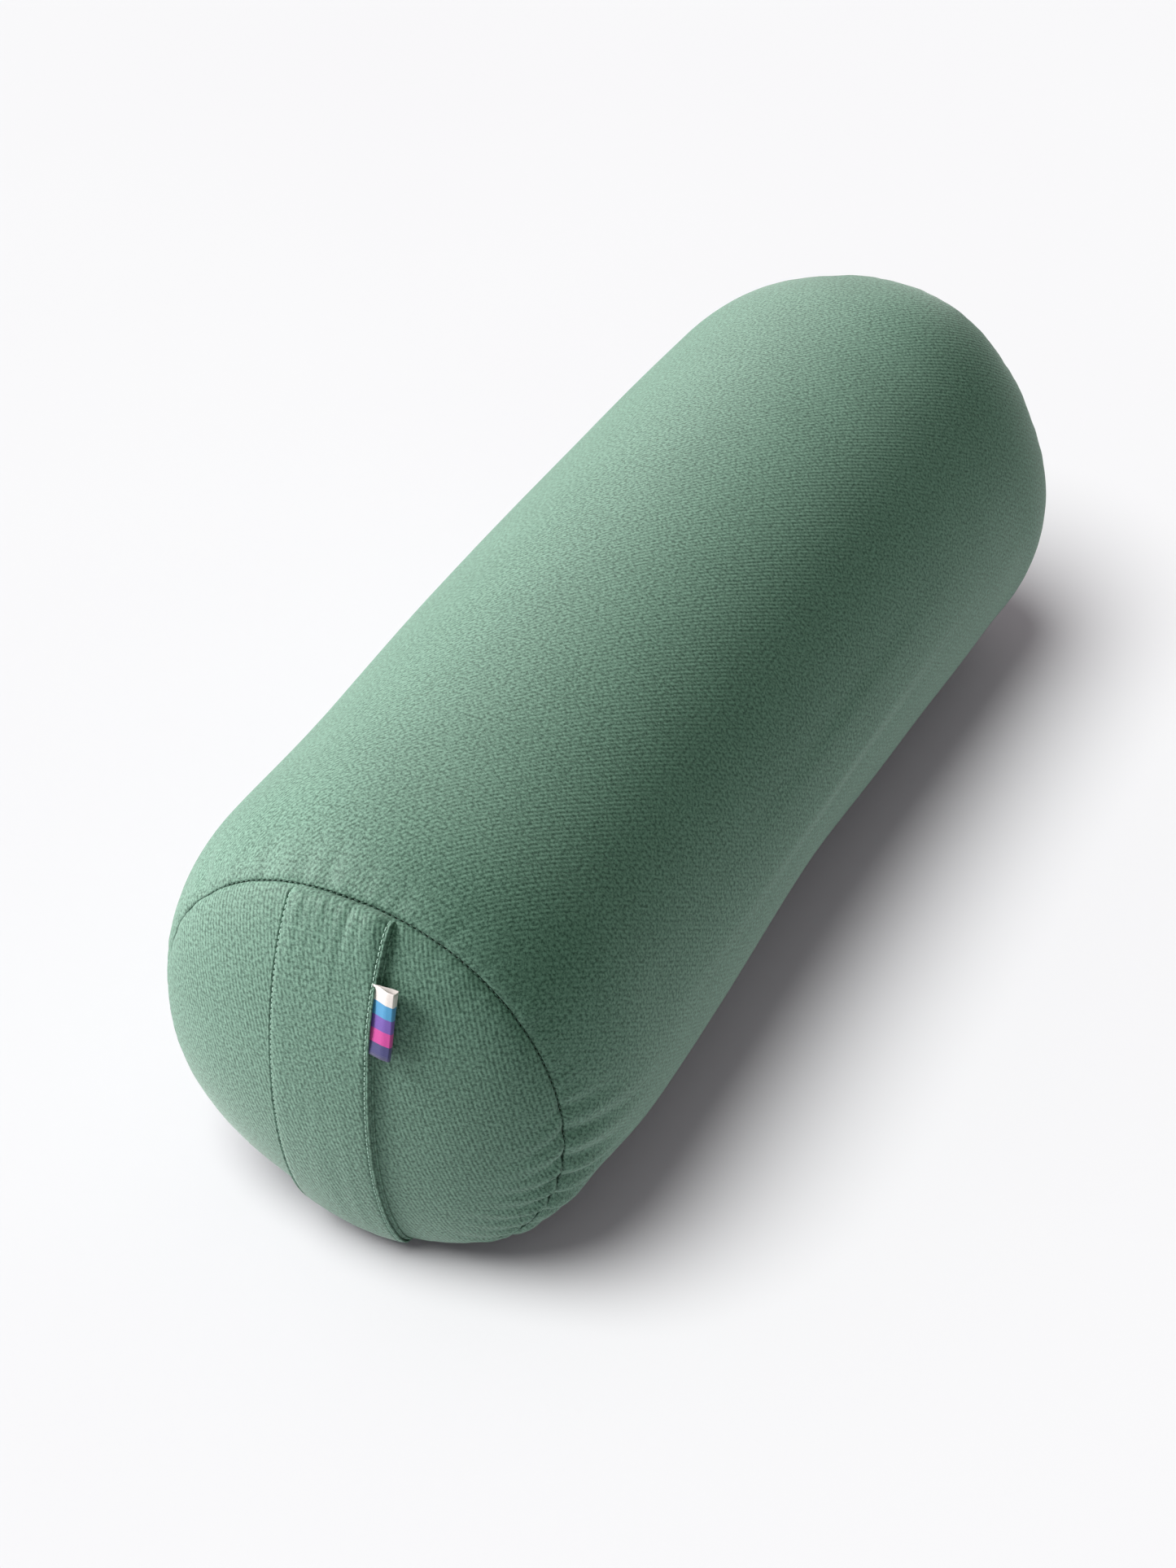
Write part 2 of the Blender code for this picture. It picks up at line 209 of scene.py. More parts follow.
def bands_per(pitch):
    """A Wave texture's scale for stripes this far apart: at scale 1 they are 2 pi / 20 apart."""
    return 2 * math.pi / 20 / pitch


WALE = 1.9 * MM  # real wales are about 1.1 mm apart, and any finer than this would shimmer
YARN = 0.9 * MM  # real yarns are 0.5 mm, drawn coarser for the same reason
SPECK = 1.5 * MM  # yarn flecks of 0.4 mm, drawn coarser so that they show


def twill(name, wale_angle, wale_share):
    """Cotton twill, piece dyed sage green. Its diagonal wales are painted lighter and the valleys
    between them darker, as painted highlight and painted shade on the relief; flecks of paler yarn
    show all over it, and brushed fibres give the edges a pale sheen."""
    material, tree = new_material(name)
    uv = add_node(tree, "UVMap", uv_map="UVMap")
    drift = add_node(
        tree, "TexNoise", {"Vector": uv.outputs[0], "Scale": 1 / (22 * MM), "Detail": 2.0}
    )
    shift = add_node(
        tree, "VectorMath", {0: drift.outputs["Color"], 1: (1.1 * MM, 1.1 * MM, 0)},
        operation="MULTIPLY",
    )
    waved = add_node(tree, "VectorMath", {0: uv.outputs[0], 1: shift.outputs[0]}, operation="ADD")
    turned = add_node(
        tree, "Mapping", {"Vector": waved.outputs[0], "Rotation": (0, 0, -wale_angle)}
    )
    wale = add_node(
        tree, "TexWave",
        {"Vector": turned.outputs[0], "Scale": bands_per(WALE), "Distortion": 0.6, "Detail": 1.0},
        bands_direction="Y",
    )
    yarn = add_node(
        tree, "TexWave",
        {"Vector": turned.outputs[0], "Scale": bands_per(YARN), "Distortion": 1.5, "Detail": 1.0},
        bands_direction="X",
    )
    speck = add_node(
        tree, "TexNoise",
        {"Vector": uv.outputs[0], "Scale": 1 / SPECK, "Detail": 3.0, "Roughness": 0.75},
    )
    mottle = add_node(
        tree, "TexNoise", {"Vector": uv.outputs[0], "Scale": 1 / (30 * MM), "Detail": 3.0}
    )
    # painted highlight and shade: the wales are made lighter in colour and the valleys darker, as
    # strongly as wale_share; the flecks and mottle added next are the cloth's real tone
    weave = add_node(
        tree, "Math", {0: wale.outputs["Fac"], 1: wale_share, 2: 0.30 - wale_share / 2},
        operation="MULTIPLY_ADD",
    )
    flecked = add_node(
        tree, "Math", {0: speck.outputs["Fac"], 1: 4.6, 2: weave.outputs[0]},
        operation="MULTIPLY_ADD",
    )
    tone_and_wale_shade = add_node(
        tree, "Math", {0: mottle.outputs["Fac"], 1: 0.22, 2: flecked.outputs[0]},
        operation="MULTIPLY_ADD",
    )
    share = add_node(
        tree, "MapRange", {"Value": tone_and_wale_shade.outputs[0], "From Min": 2.12, "From Max": 3.18}
    )
    colour = add_node(
        tree, "Mix", {0: share.outputs[0], 6: linear("1B4634"), 7: linear("648B78")},
        data_type="RGBA",
    )
    relief = add_node(
        tree, "Math", {0: yarn.outputs["Fac"], 1: 0.25, 2: wale.outputs["Fac"]},
        operation="MULTIPLY_ADD",
    )
    fuzz = add_node(
        tree, "Math", {0: speck.outputs["Fac"], 1: 1.1, 2: relief.outputs[0]},
        operation="MULTIPLY_ADD",
    )
    sheen = {"Sheen Weight": 0.28, "Sheen Roughness": 0.45, "Sheen Tint": linear("DCEBE2")}
    close_material(
        tree, colour.outputs[2], (fuzz.outputs[0], 0.45, 0.16 * MM),
        {"Roughness": 0.7, "Specular IOR Level": 0.6, **sheen},
    )
    return material


def plain_weave(name, shade, light, pitch, depth, fleck_share=0.0):
    """A plain weave: threads cross one over one, so it shows a fine even grid, painted darker
    between the threads as painted shade, with slubs of random tone. Husks left in unbleached cotton
    fleck this share of it."""
    material, tree = new_material(name)
    uv = add_node(tree, "UVMap", uv_map="UVMap")
    across, along = (
        add_node(
            tree, "TexWave",
            {"Vector": uv.outputs[0], "Scale": bands_per(pitch), "Distortion": 0.8},
            bands_direction=direction,
        )
        for direction in ("X", "Y")
    )
    grid = add_node(
        tree, "Math", {0: across.outputs["Fac"], 1: along.outputs["Fac"]}, operation="MULTIPLY"
    )
    slub = add_node(
        tree, "TexNoise", {"Vector": uv.outputs[0], "Scale": 1 / (4 * MM), "Detail": 4.0}
    )
    # painted shade: the colour follows the grid's relief, darker where the threads dip, plus the
    # slubs' real tone
    share = add_node(
        tree, "Math", {0: slub.outputs["Fac"], 1: 0.7, 2: grid.outputs[0]},
        operation="MULTIPLY_ADD", use_clamp=True,
    )
    colour = add_node(
        tree, "Mix", {0: share.outputs[0], 6: linear(shade), 7: linear(light)}, data_type="RGBA"
    )
    husk = add_node(tree, "TexVoronoi", {"Vector": uv.outputs[0], "Scale": 1 / (9 * MM)})
    spot = add_node(
        tree, "Math", {0: husk.outputs["Distance"], 1: fleck_share}, operation="LESS_THAN"
    )
    flecked = add_node(
        tree, "Mix", {0: spot.outputs[0], 6: colour.outputs[2], 7: linear("8A7A58")},
        data_type="RGBA",
    )
    close_material(
        tree, flecked.outputs[2], (share.outputs[0], 0.5, depth),
        {"Roughness": 0.9, "Sheen Weight": 0.15},
    )
    return material


def satin_ribbon(name, stripes, height):
    """Woven polyester satin: flat bright colour with fine ribs across, and a soft gloss."""
    material, tree = new_material(name)
    uv = add_node(tree, "UVMap", uv_map="UVMap")
    parts = add_node(tree, "SeparateXYZ", {0: uv.outputs[0]})
    up = add_node(tree, "Math", {0: parts.outputs["Y"], 1: height}, operation="DIVIDE")
    ramp = add_node(tree, "ValToRGB", {0: up.outputs[0]})
    ramp.color_ramp.interpolation = "CONSTANT"
    stops = ramp.color_ramp.elements
    while len(stops) < len(stripes):
        stops.new(0.5)
    for i, code in enumerate(stripes):
        stops[i].position = i / len(stripes)
        stops[i].color = linear(code)
    rib = add_node(
        tree, "TexWave", {"Vector": uv.outputs[0], "Scale": bands_per(0.8 * MM), "Distortion": 0.4},
        bands_direction="Y",
    )
    thread = add_node(tree, "TexNoise", {"Vector": uv.outputs[0], "Scale": 1 / (0.7 * MM)})
    shade = add_node(
        tree, "MapRange", {"Value": thread.outputs["Fac"], "To Min": 0.82, "To Max": 1.08}
    )
    colour = add_node(
        tree, "VectorMath", {0: ramp.outputs[0], "Scale": shade.outputs[0]}, operation="SCALE"
    )
    close_material(
        tree, colour.outputs[0], (rib.outputs["Fac"], 0.4, 0.08 * MM),
        {"Roughness": 0.5, "Sheen Weight": 0.2},
    )
    return material


def twisted_thread(name, shade, light):
    """Spun polyester sewing thread: two plies twisted round each other, with a dull gloss. The
    grooves between the plies are painted in the darker tone as painted shade, the crests in the
    lighter.
    """
    material, tree = new_material(name)
    place_at = add_node(tree, "TexCoord")
    ply = add_node(
        tree, "TexWave",
        {"Vector": place_at.outputs["Object"], "Scale": bands_per(0.5 * MM), "Distortion": 2.0},
        bands_direction="DIAGONAL",
    )
    # painted shade: the colour follows the ply relief, dark in its grooves and light on its crests
    colour = add_node(
        tree, "Mix", {0: ply.outputs["Fac"], 6: linear(shade), 7: linear(light)}, data_type="RGBA"
    )
    relief = (ply.outputs["Fac"], 0.4, 0.05 * MM)
    close_material(tree, colour.outputs[2], relief, {"Roughness": 0.6})
    return material


def moulded_nylon(name, code):
    """Extruded nylon filament, heat set: a smooth, slightly clear gloss with faint cloudiness."""
    material, tree = new_material(name)
    place_at = add_node(tree, "TexCoord")
    cloud = add_node(
        tree, "TexNoise",
        {"Vector": place_at.outputs["Object"], "Scale": 1 / (3 * MM), "Detail": 2.0},
    )
    rough = add_node(
        tree, "MapRange", {"Value": cloud.outputs["Fac"], "To Min": 0.28, "To Max": 0.48}
    )
    dark = [c * 0.82 for c in linear(code)[:3]] + [1.0]
    colour = add_node(
        tree, "Mix", {0: cloud.outputs["Fac"], 6: dark, 7: linear(code)}, data_type="RGBA"
    )
    depth = {"Subsurface Weight": 0.05, "Subsurface Radius": (0.5 * MM, 0.5 * MM, 0.5 * MM)}
    inputs = {"Roughness": rough.outputs[0], "IOR": 1.53, **depth}
    close_material(tree, colour.outputs[2], None, inputs)
    return material


def cast_zinc(name):
    """Die-cast zinc alloy, tumbled and plated with nickel: satin metal with rubbed, brighter
    high spots and fine scratches."""
    material, tree = new_material(name)
    place_at = add_node(tree, "TexCoord")
    rubbed = add_node(
        tree, "TexNoise",
        {"Vector": place_at.outputs["Object"], "Scale": 1 / (2.5 * MM), "Detail": 4.0},
    )
    rough = add_node(
        tree, "MapRange", {"Value": rubbed.outputs["Fac"], "To Min": 0.22, "To Max": 0.46}
    )
    colour = add_node(
        tree, "Mix", {0: rubbed.outputs["Fac"], 6: linear("8F9491"), 7: linear("C9CCC8")},
        data_type="RGBA",
    )
    scratch = add_node(
        tree, "TexNoise",
        {"Vector": place_at.outputs["Object"], "Scale": 1 / (0.4 * MM), "Detail": 2.0},
    )
    close_material(
        tree, colour.outputs[2], (scratch.outputs["Fac"], 0.25, 0.03 * MM),
        {"Metallic": 1.0, "Roughness": rough.outputs[0]},
    )
    return material


def fibre_batting(name):
    """Carded cotton fibre: matted tufts, cream to straw, with no gloss at all."""
    material, tree = new_material(name)
    place_at = add_node(tree, "TexCoord")
    tuft = add_node(
        tree, "TexNoise", {
            "Vector": place_at.outputs["Object"], "Scale": 1 / (6 * MM), "Detail": 6.0,
            "Distortion": 1.5,
        },
    )
    colour = add_node(
        tree, "Mix", {0: tuft.outputs["Fac"], 6: linear("B7A57E"), 7: linear("EFE6CF")},
        data_type="RGBA",
    )
    close_material(
        tree, colour.outputs[2], (tuft.outputs["Fac"], 0.9, 1.2 * MM),
        {"Roughness": 1.0, "Sheen Weight": 0.3},
    )
    return material


TUBE_WALE = math.radians(127)  # from round the tube towards its length
PANEL_WALE = math.radians(-74)

TUBE_TWILL = twill("cotton_twill_tube", TUBE_WALE, 0.18)
PANEL_TWILL = twill("cotton_twill_panel", PANEL_WALE, 0.50)
STRAP_TWILL = twill("cotton_twill_strap", PANEL_WALE, 0.36)
GREEN_THREAD = twisted_thread("sewing_thread_green", "1C3A2D", "3D6553")
PALE_THREAD = twisted_thread("topstitch_thread_green", "6E9A88", "B4D0C2")
CALICO_CLOTH = plain_weave(
    "unbleached_calico", "C9BC9D", "EFE8D6", 0.9 * MM, 0.1 * MM, fleck_share=0.05
)
GREEN_TAPE = plain_weave("zip_tape_green", "3F6A58", "7C9F8F", 0.7 * MM, 0.08 * MM)
CREAM_TAPE = plain_weave("zip_tape_cream", "C8C0AC", "EAE4D4", 0.7 * MM, 0.08 * MM)
GREEN_NYLON = moulded_nylon("zip_coil_green", "6C8F7F")
CREAM_NYLON = moulded_nylon("zip_coil_cream", "DCD6C6")
ZINC = cast_zinc("zip_nickel_zinc")
BATTING = fibre_batting("cotton_fibre_filling")

# ---- The body's shape ----------------------------------------------------------------------------

# Angle from +X over the top in degrees, distance along, rise in mm, spread towards the lower and
# towards the higher angles in degrees, and spread along
SWELLS = (
    (334, -0.018, -6.0, 34, 16, 0.068),
    (334, 0.110, -1.6, 30, 15, 0.035),
    (331, -0.232, -3.0, 14, 12, 0.017),
    (338, 0.236, 1.8, 14, 12, 0.018),
    (143, 0.035, 3.1, 34, 11, 0.085),
    (143, 0.165, 1.2, 26, 11, 0.040),
    (143, -0.070, 1.2, 30, 11, 0.045),
    (148, -0.215, 1.2, 20, 9, 0.030),
    (66, 0.262, 2.2, 13, 13, 0.030),
    (22, 0.265, -2.6, 13, 13, 0.028),
    (110, 0.262, -2.0, 13, 13, 0.030),
    (173, -0.266, -1.8, 15, 15, 0.015),
    (90, -0.270, -2.4, 16, 16, 0.011),
    (316, -0.266, 1.6, 12, 12, 0.012),
    (246, -0.272, -5.0, 18, 14, 0.016),
)


def swell(angle, y):
    """How far the filled bolster stands out of its plain round shape, outwards from its axis."""
    out = np.zeros(np.broadcast(angle, y).shape)
    for centre, along, rise, below, above, spread in SWELLS:
        around = turn(angle, math.radians(centre))
        width = np.where(around < 0, math.radians(below), math.radians(above))
        out += rise * MM * bell(around, width) * bell(y - along, spread)
    return out


def near_zips(angle, y):
    """1 on the flat strips that the zips keep straight, and 0 away from them."""
    side_fade, end_fade = 12 * MM, 18 * MM
    out = np.zeros(np.broadcast(angle, y).shape)
    for centre in (COVER_ZIP_ANGLE, LINER_ZIP_ANGLE):
        around = np.abs(turn(angle, centre)) * BODY_RADIUS
        side = np.clip((9 * MM + side_fade - around) / side_fade, 0, 1)
        end = np.clip((ZIP_HALF + 6 * MM + end_fade - np.abs(y)) / end_fade, 0, 1)
        out = np.maximum(out, side * side * (3 - 2 * side) * end)
    return out


def shoulder_curve(inset):
    """Distance from the seam, radius and y along the front half of a tube, closely spaced."""
    bend = np.linspace(0, math.pi / 2, 300)
    left = np.cos(bend)
    left[-1] = 0.0
    radius = SEAM_RADIUS + (BODY_RADIUS - SEAM_RADIUS) * (1 - left**2) ** ROUNDNESS - inset
    y = inset - HALF_SEAM + SHOULDER * (1 - left)
    radius = np.append(radius, BODY_RADIUS - inset)
    y = np.append(y, 0.0)
    steps = np.hypot(np.diff(radius), np.diff(y))
    return np.concatenate([[0], np.cumsum(steps)]), radius, y


def crown_curve(inset):
    """Distance from the seam, radius and y from the front seam to the end panel's middle."""
    share = np.sin(np.linspace(math.pi / 2, 0, 400))
    share[0] = 1.0
    radius = share * (SEAM_RADIUS - inset)
    y = inset - HALF_SEAM - END_CROWN * (1 - share**2) ** ROUNDNESS
    steps = np.hypot(np.diff(radius), np.diff(y))
    return np.concatenate([[0], np.cumsum(steps)]), radius, y


def rest_on_floor(z, inset):
    """Flattens the underside where it lies, with a soft turn up at its sides."""
    soft = 3.0 * MM
    over = z - inset
    return inset + (over + np.sqrt(over * over + soft * soft)) / 2


def relaxed_by_cloth():
    """A grid of angle by length: how far a tense cloth over lumpy filling stands off the plain
    round body. The filling is inflated under cloth that is held at its seams and zip."""
    angles = np.linspace(0, 2 * math.pi, 73)[:-1]
    ys = np.linspace(-0.262, 0.262, 53)
    start_inset, near_axis, floor_reach = 4 * MM, 90 * MM, 104 * MM
    lump_count, frames, furthest = 46, 20, 8 * MM
    lumps = random.Random(11)
    soft_spots = [
        (lumps.uniform(0, 2 * math.pi), lumps.uniform(-0.24, 0.24), lumps.uniform(-2.6, 2.2) * MM)
        for _ in range(lump_count)
    ]
    _, crown_r, crown_y = crown_curve(start_inset)
    _, tube_r, tube_y = shoulder_curve(start_inset)
    front = np.concatenate(
        [
            np.stack([crown_r[::-1][::12], crown_y[::-1][::12]], -1),
            np.stack([tube_r[::12], tube_y[::12]], -1),
        ]
    )
    profile = np.concatenate([front, front[::-1] * (1, -1)])
    around = np.linspace(0, 2 * math.pi, 145)[:-1]
    radius = np.repeat(profile[None, :, 0], len(around), 0)
    ygrid = np.repeat(profile[None, :, 1], len(around), 0)
    grid = np.repeat(around[:, None], len(profile), 1)
    for centre, along, rise in soft_spots:
        radius += rise * bell(turn(grid, centre) * BODY_RADIUS, 0.020) * bell(ygrid - along, 0.026)
    radius = np.maximum(radius, 1e-5)
    z = np.maximum(AXIS_HEIGHT + radius * np.sin(grid), start_inset)
    points = np.stack([radius * np.cos(grid), ygrid, z], -1)
    body = cloth_piece("relaxing_body", points, grid, ygrid, wrap=True, ends=True)
    activate(body)
    body.data.remesh_voxel_size = 5.5 * MM
    bpy.ops.object.voxel_remesh()
    count = len(body.data.vertices)
    start = np.empty(count * 3)
    body.data.vertices.foreach_get("co", start)
    start = start.reshape(-1, 3)
    from_axis = start[:, ::2] - (0, AXIS_HEIGHT)
    from_seam = np.abs(np.abs(start[:, 1]) - HALF_SEAM)
    from_zip = np.abs(turn(np.arctan2(from_axis[:, 1], from_axis[:, 0]), COVER_ZIP_ANGLE))
    from_zip = np.where(np.hypot(*from_axis.T) < near_axis, 1.0, from_zip * BODY_RADIUS)
    from_floor = start[:, 2] - start_inset + 1 * MM
    held = np.min([from_seam, from_zip, from_floor], axis=0) < 4 * MM
    group = body.vertex_groups.new(name="held")
    group.add(np.nonzero(held)[0].tolist(), 1.0, "REPLACE")
    cloth = body.modifiers.new("Cloth", "CLOTH")
    cloth.settings.quality = 4
    cloth.settings.mass = 0.3
    cloth.settings.use_pressure = True
    cloth.settings.uniform_pressure_force = 4.0
    cloth.settings.vertex_group_mass = "held"
    cloth.settings.effector_weights.gravity = 0.0
    cloth.collision_settings.use_collision = False
    scene = bpy.context.scene
    for number in range(1, frames + 1):
        scene.frame_set(number)
    evaluated = body.evaluated_get(bpy.context.evaluated_depsgraph_get())
    moved = np.empty(count * 3)
    evaluated.data.vertices.foreach_get("co", moved)
    move = moved.reshape(-1, 3) - start
    length = np.linalg.norm(move, axis=1, keepdims=True)
    ended = start + move * np.minimum(1, furthest / np.maximum(length, 1e-9))
    body.modifiers.clear()
    body.data.vertices.foreach_set("co", ended.ravel())
    body.data.update()
    tree = tree_of(body)
    reach = np.zeros((len(angles), len(ys)))
    for i, angle in enumerate(angles):
        aim = Vector((math.cos(angle), 0, math.sin(angle)))
        for j, y in enumerate(ys):
            hit, _, _, distance = tree.ray_cast(Vector((0, y, AXIS_HEIGHT)), aim)
            reach[i, j] = distance if hit else BODY_RADIUS
    scene.frame_set(1)
    bpy.data.objects.remove(body)
    off_floor = -floor_reach * np.sin(angles) < AXIS_HEIGHT
    relief = np.where(off_floor[:, None], reach - np.median(reach[off_floor], axis=0), 0)
    return angles, ys, np.clip(relief, -2.2 * MM, 2.2 * MM)


def tree_of(obj):
    return BVHTree.FromObject(obj, bpy.context.evaluated_depsgraph_get())


def cloth_piece(name, points, us, vs, wrap=False, ends=False, pole=None, skip=None):
    """A mesh of quads through a grid of points, with its UV map in metres of cloth. wrap joins
    the last line of points to the first, ends and pole close it with a fan, and skip leaves out
    quads."""
    across, along = points.shape[:2]
    us, vs = np.broadcast_arrays(us, vs)
    verts = points.reshape(-1, 3).tolist()
    lines = across if wrap else across - 1
    j, i = np.meshgrid(np.arange(lines), np.arange(along - 1), indexing="ij")
    if skip is not None:
        keep = ~skip[:lines, : along - 1]
        j, i = j[keep], i[keep]
    j, i = j.ravel(), i.ravel()
    corner = [(j, i), (j + 1, i), (j + 1, i + 1), (j, i + 1)]
    quads = np.stack([(a % across) * along + b for a, b in corner], 1)
    if wrap and len(us) == across:
        us, vs = (np.concatenate([c, c[:1]]) for c in (us, vs))
    quad_uv = np.stack([np.stack([us[a, b], vs[a, b]], -1) for a, b in corner], 1)
    faces = quads.tolist()
    uvs = quad_uv.reshape(-1, 2).tolist()
    fans = []
    if pole is not None:
        fans.append((along - 1, pole))
    if ends:
        fans.append((0, points[:, 0].mean(0)))
        fans.append((along - 1, points[:, -1].mean(0)))
    for line, tip in fans:
        verts.append([float(c) for c in tip])
        for a in range(across):
            b = (a + 1) % across
            pair = [b * along + line, a * along + line]
            ring = [(us[a + 1, line], vs[a + 1, line]), (us[a, line], vs[a, line])]
            if line == 0:
                pair.reverse()
                ring.reverse()
            faces.append(pair[::-1] + [len(verts) - 1])
            uvs += ring[::-1] + [(0.0, 0.0)]
    mesh = bpy.data.meshes.new(name)
    mesh.from_pydata(verts, [], faces)
    layer = mesh.uv_layers.new(name="UVMap")
    layer.data.foreach_set("uv", np.array(uvs, np.float32).ravel())
    mesh.update()
    obj = new_object(name, mesh)
    activate(obj)
    edit_all((bpy.ops.mesh.delete_loose, {}))
    centres = np.array([p.center for p in mesh.polygons]) - np.array(CENTRE)
    normals = np.array([p.normal for p in mesh.polygons])
    if (centres * normals).sum() < 0:
        mesh.flip_normals()
    for polygon in mesh.polygons:
        polygon.use_smooth = True
    return obj


def thicken(obj, thickness, rounding=0.0, offset=-1.0):
    """Gives cloth its thickness, inwards, and rounds the folded edges of its openings."""
    solid = obj.modifiers.new("Cloth thickness", "SOLIDIFY")
    solid.thickness = thickness
    solid.offset = offset
    if rounding:
        bevel = obj.modifiers.new("Folded edge", "BEVEL")
        bevel.width = rounding
        bevel.segments = 2
        bevel.limit_method = "ANGLE"
        bevel.angle_limit = math.radians(60)
    apply_modifiers(obj)


RELIEF_ANGLES, RELIEF_YS, RELIEF = relaxed_by_cloth()


def relief(angle, y):
    """The relaxed cloth's stand-off, read from its grid."""
    angle, y = np.broadcast_arrays(angle, y)
    at = (angle % (2 * math.pi)) / (2 * math.pi) * len(RELIEF_ANGLES)
    low = np.floor(at).astype(int)
    part = at - low
    low %= len(RELIEF_ANGLES)
    high = (low + 1) % len(RELIEF_ANGLES)
    span = np.clip((y - RELIEF_YS[0]) / (RELIEF_YS[1] - RELIEF_YS[0]), 0, len(RELIEF_YS) - 1.001)
    row = np.floor(span).astype(int)
    step = span - row
    first = RELIEF[low, row] * (1 - part) + RELIEF[high, row] * part
    second = RELIEF[low, row + 1] * (1 - part) + RELIEF[high, row + 1] * part
    return first * (1 - step) + second * step


def stand_out(angle, y):
    return (swell(angle, y) + relief(angle, y)) * (1 - near_zips(angle, y))


# ---- Gathers at the end seams --------------------------------------------------------------------


def make_puckers(seed, spacing, depth, reach, windows):
    """Gathers round a seam: angle, width, reach, depth and lean of each. They are stronger in the
    windows: centre and spread in degrees, and how much stronger."""
    draw = random.Random(seed)
    made = []
    angle = draw.uniform(0, 0.05)
    while angle < 2 * math.pi:
        gain = 1.0
        for centre, spread, more in windows:
            gain += more * float(bell(turn(angle, math.radians(centre)), math.radians(spread)))
        made.append(
            (
                angle,
                draw.uniform(1.6, 3.0) * MM,
                draw.uniform(0.5, 1.0) * reach * min(gain, 1.6),
                draw.uniform(0.3, 1.0) * depth * gain * draw.choice((1, 1, -0.6)),
                draw.uniform(-3.0, 3.0),
            )
        )
        angle += draw.uniform(0.6, 1.4) * spacing / SEAM_RADIUS
    return made


# The long creases where the end is squashed at one side: angle in degrees, width and depth in mm
CREASES = (
    (12, 2.2, 1.1),
    (8, 2.0, -0.6),
    (4, 2.4, 1.7),
    (-0.5, 2.0, -0.9),
    (-5, 2.4, 2.3),
    (-9, 1.9, -1.0),
    (-13, 2.3, 2.5),
    (-17, 1.9, -1.0),
    (-21, 2.4, 2.7),
    (-25, 2.0, -1.0),
    (-29, 2.3, 2.4),
    (-37, 2.5, 2.2),
    (-46, 2.6, 1.4),
)


def creases(reach, lean, gain):
    """The long creases as gathers of one panel: this long, leaning by this many radians a metre,
    and this many times as deep."""
    made = []
    for i, (angle, width, depth) in enumerate(CREASES):
        longer = reach * (0.75 + 0.35 * math.sin(2.3 * i) ** 2)
        made.append((math.radians(angle), 0.85 * width * MM, longer, depth * gain * MM, lean))
    return made


UPPER_LEFT = (135, 22, 0.7)
TOP = (80, 18, 1.1)
REAR = ((-60, 30, 1.2), (210, 20, 0.8))
FRONT_TUBE = make_puckers(3, 6.5 * MM, 0.75 * MM, 19 * MM, (UPPER_LEFT,))
FRONT_TUBE += creases(38 * MM, -2.0, 1.45)
FRONT_PANEL = make_puckers(5, 8 * MM, 0.52 * MM, 15 * MM, (TOP,))
FRONT_PANEL += creases(20 * MM, -8.0, 1.4)
REAR_TUBE = make_puckers(8, 6.5 * MM, 0.55 * MM, 19 * MM, REAR)
REAR_PANEL = make_puckers(9, 8 * MM, 0.42 * MM, 16 * MM, REAR)


def gathered(puckers, angle, away):
    """How far the gathers draw the cloth in, at this angle and this distance from the seam."""
    away = np.maximum(away, 0)
    depth = np.zeros(np.broadcast(angle, away).shape)
    for centre, width, reach, deep, lean in puckers:
        across = turn(angle - lean * away, centre) * SEAM_RADIUS
        side = (across / (width * (1 + 0.8 * away / reach))) ** 2
        depth += deep * np.exp(-side) * np.exp(-1.7 * (away / reach) ** 1.6)
    return depth * (1 - 0.75 * np.exp(-away / (1.2 * MM)))


def drawn_in(away):
    """How far a seam draws the cloth in, and as far along, at this distance from the seam."""
    return SEAM_PULL * np.exp(-((np.maximum(away, 0) / SEAM_PULL_REACH) ** 1.3)) / math.sqrt(2)


# ---- Panels of one layer -------------------------------------------------------------------------

TURN_IN = np.array((3.2, 2.0, 1.0, 0.3)) * MM
BY_SEAM = (0.5, 1.0, 1.7, 2.6, 3.7, 5.0, 6.6, 8.5, 10.7, 13.2, 16.0)
TUBE_ROWS = np.array(BY_SEAM + (19.2, 22.8, 26.8, 31.2, 36.0, 41.0, 46.5, 52.5, 59.0)) * MM
PANEL_RINGS = np.array(BY_SEAM + (19.5, 23.5)) * MM
ROUND = 2 * math.pi * BODY_RADIUS


def spaced(start, end, step):
    count = max(int(round((end - start) / step)), 1)
    return np.linspace(start, end, count + 1)


def tube_columns(zip_angle, slot_half, step, close):
    """Angles of the lines along a tube, starting at its long seam, close together beside it."""
    if close:
        inner = np.array([0, 0.35, 0.9, 1.8, 3.2]) * MM
        outer = np.array([0, 0.5, 1.2, 2.0, 2.9, 4.4, 6.1]) * MM + slot_half
    else:
        inner = np.array([0, 2.0]) * MM
        outer = np.array([0, 1.5, 4.0]) * MM + slot_half
    half = np.concatenate([inner, outer, spaced(outer[-1], ROUND / 2, step)[1:]])
    arcs = np.concatenate([half, (ROUND - half[1:-1])[::-1]])
    inside = (arcs < slot_half - 1e-6) | (arcs > ROUND - slot_half - 1e-6)
    return zip_angle + arcs / BODY_RADIUS, arcs, inside


def tube_rows(inset, middle_step, every=1):
    """Distances from the front seam to the middle, with one at the zip's end."""
    curve = shoulder_curve(inset)
    zip_at = np.interp(-ZIP_HALF, curve[2], curve[0])
    near = TUBE_ROWS[::every]
    first = spaced(near[-1], zip_at, middle_step)[1:]
    rest = spaced(zip_at, curve[0][-1], middle_step)[1:]
    return np.concatenate([near, first, rest]), curve


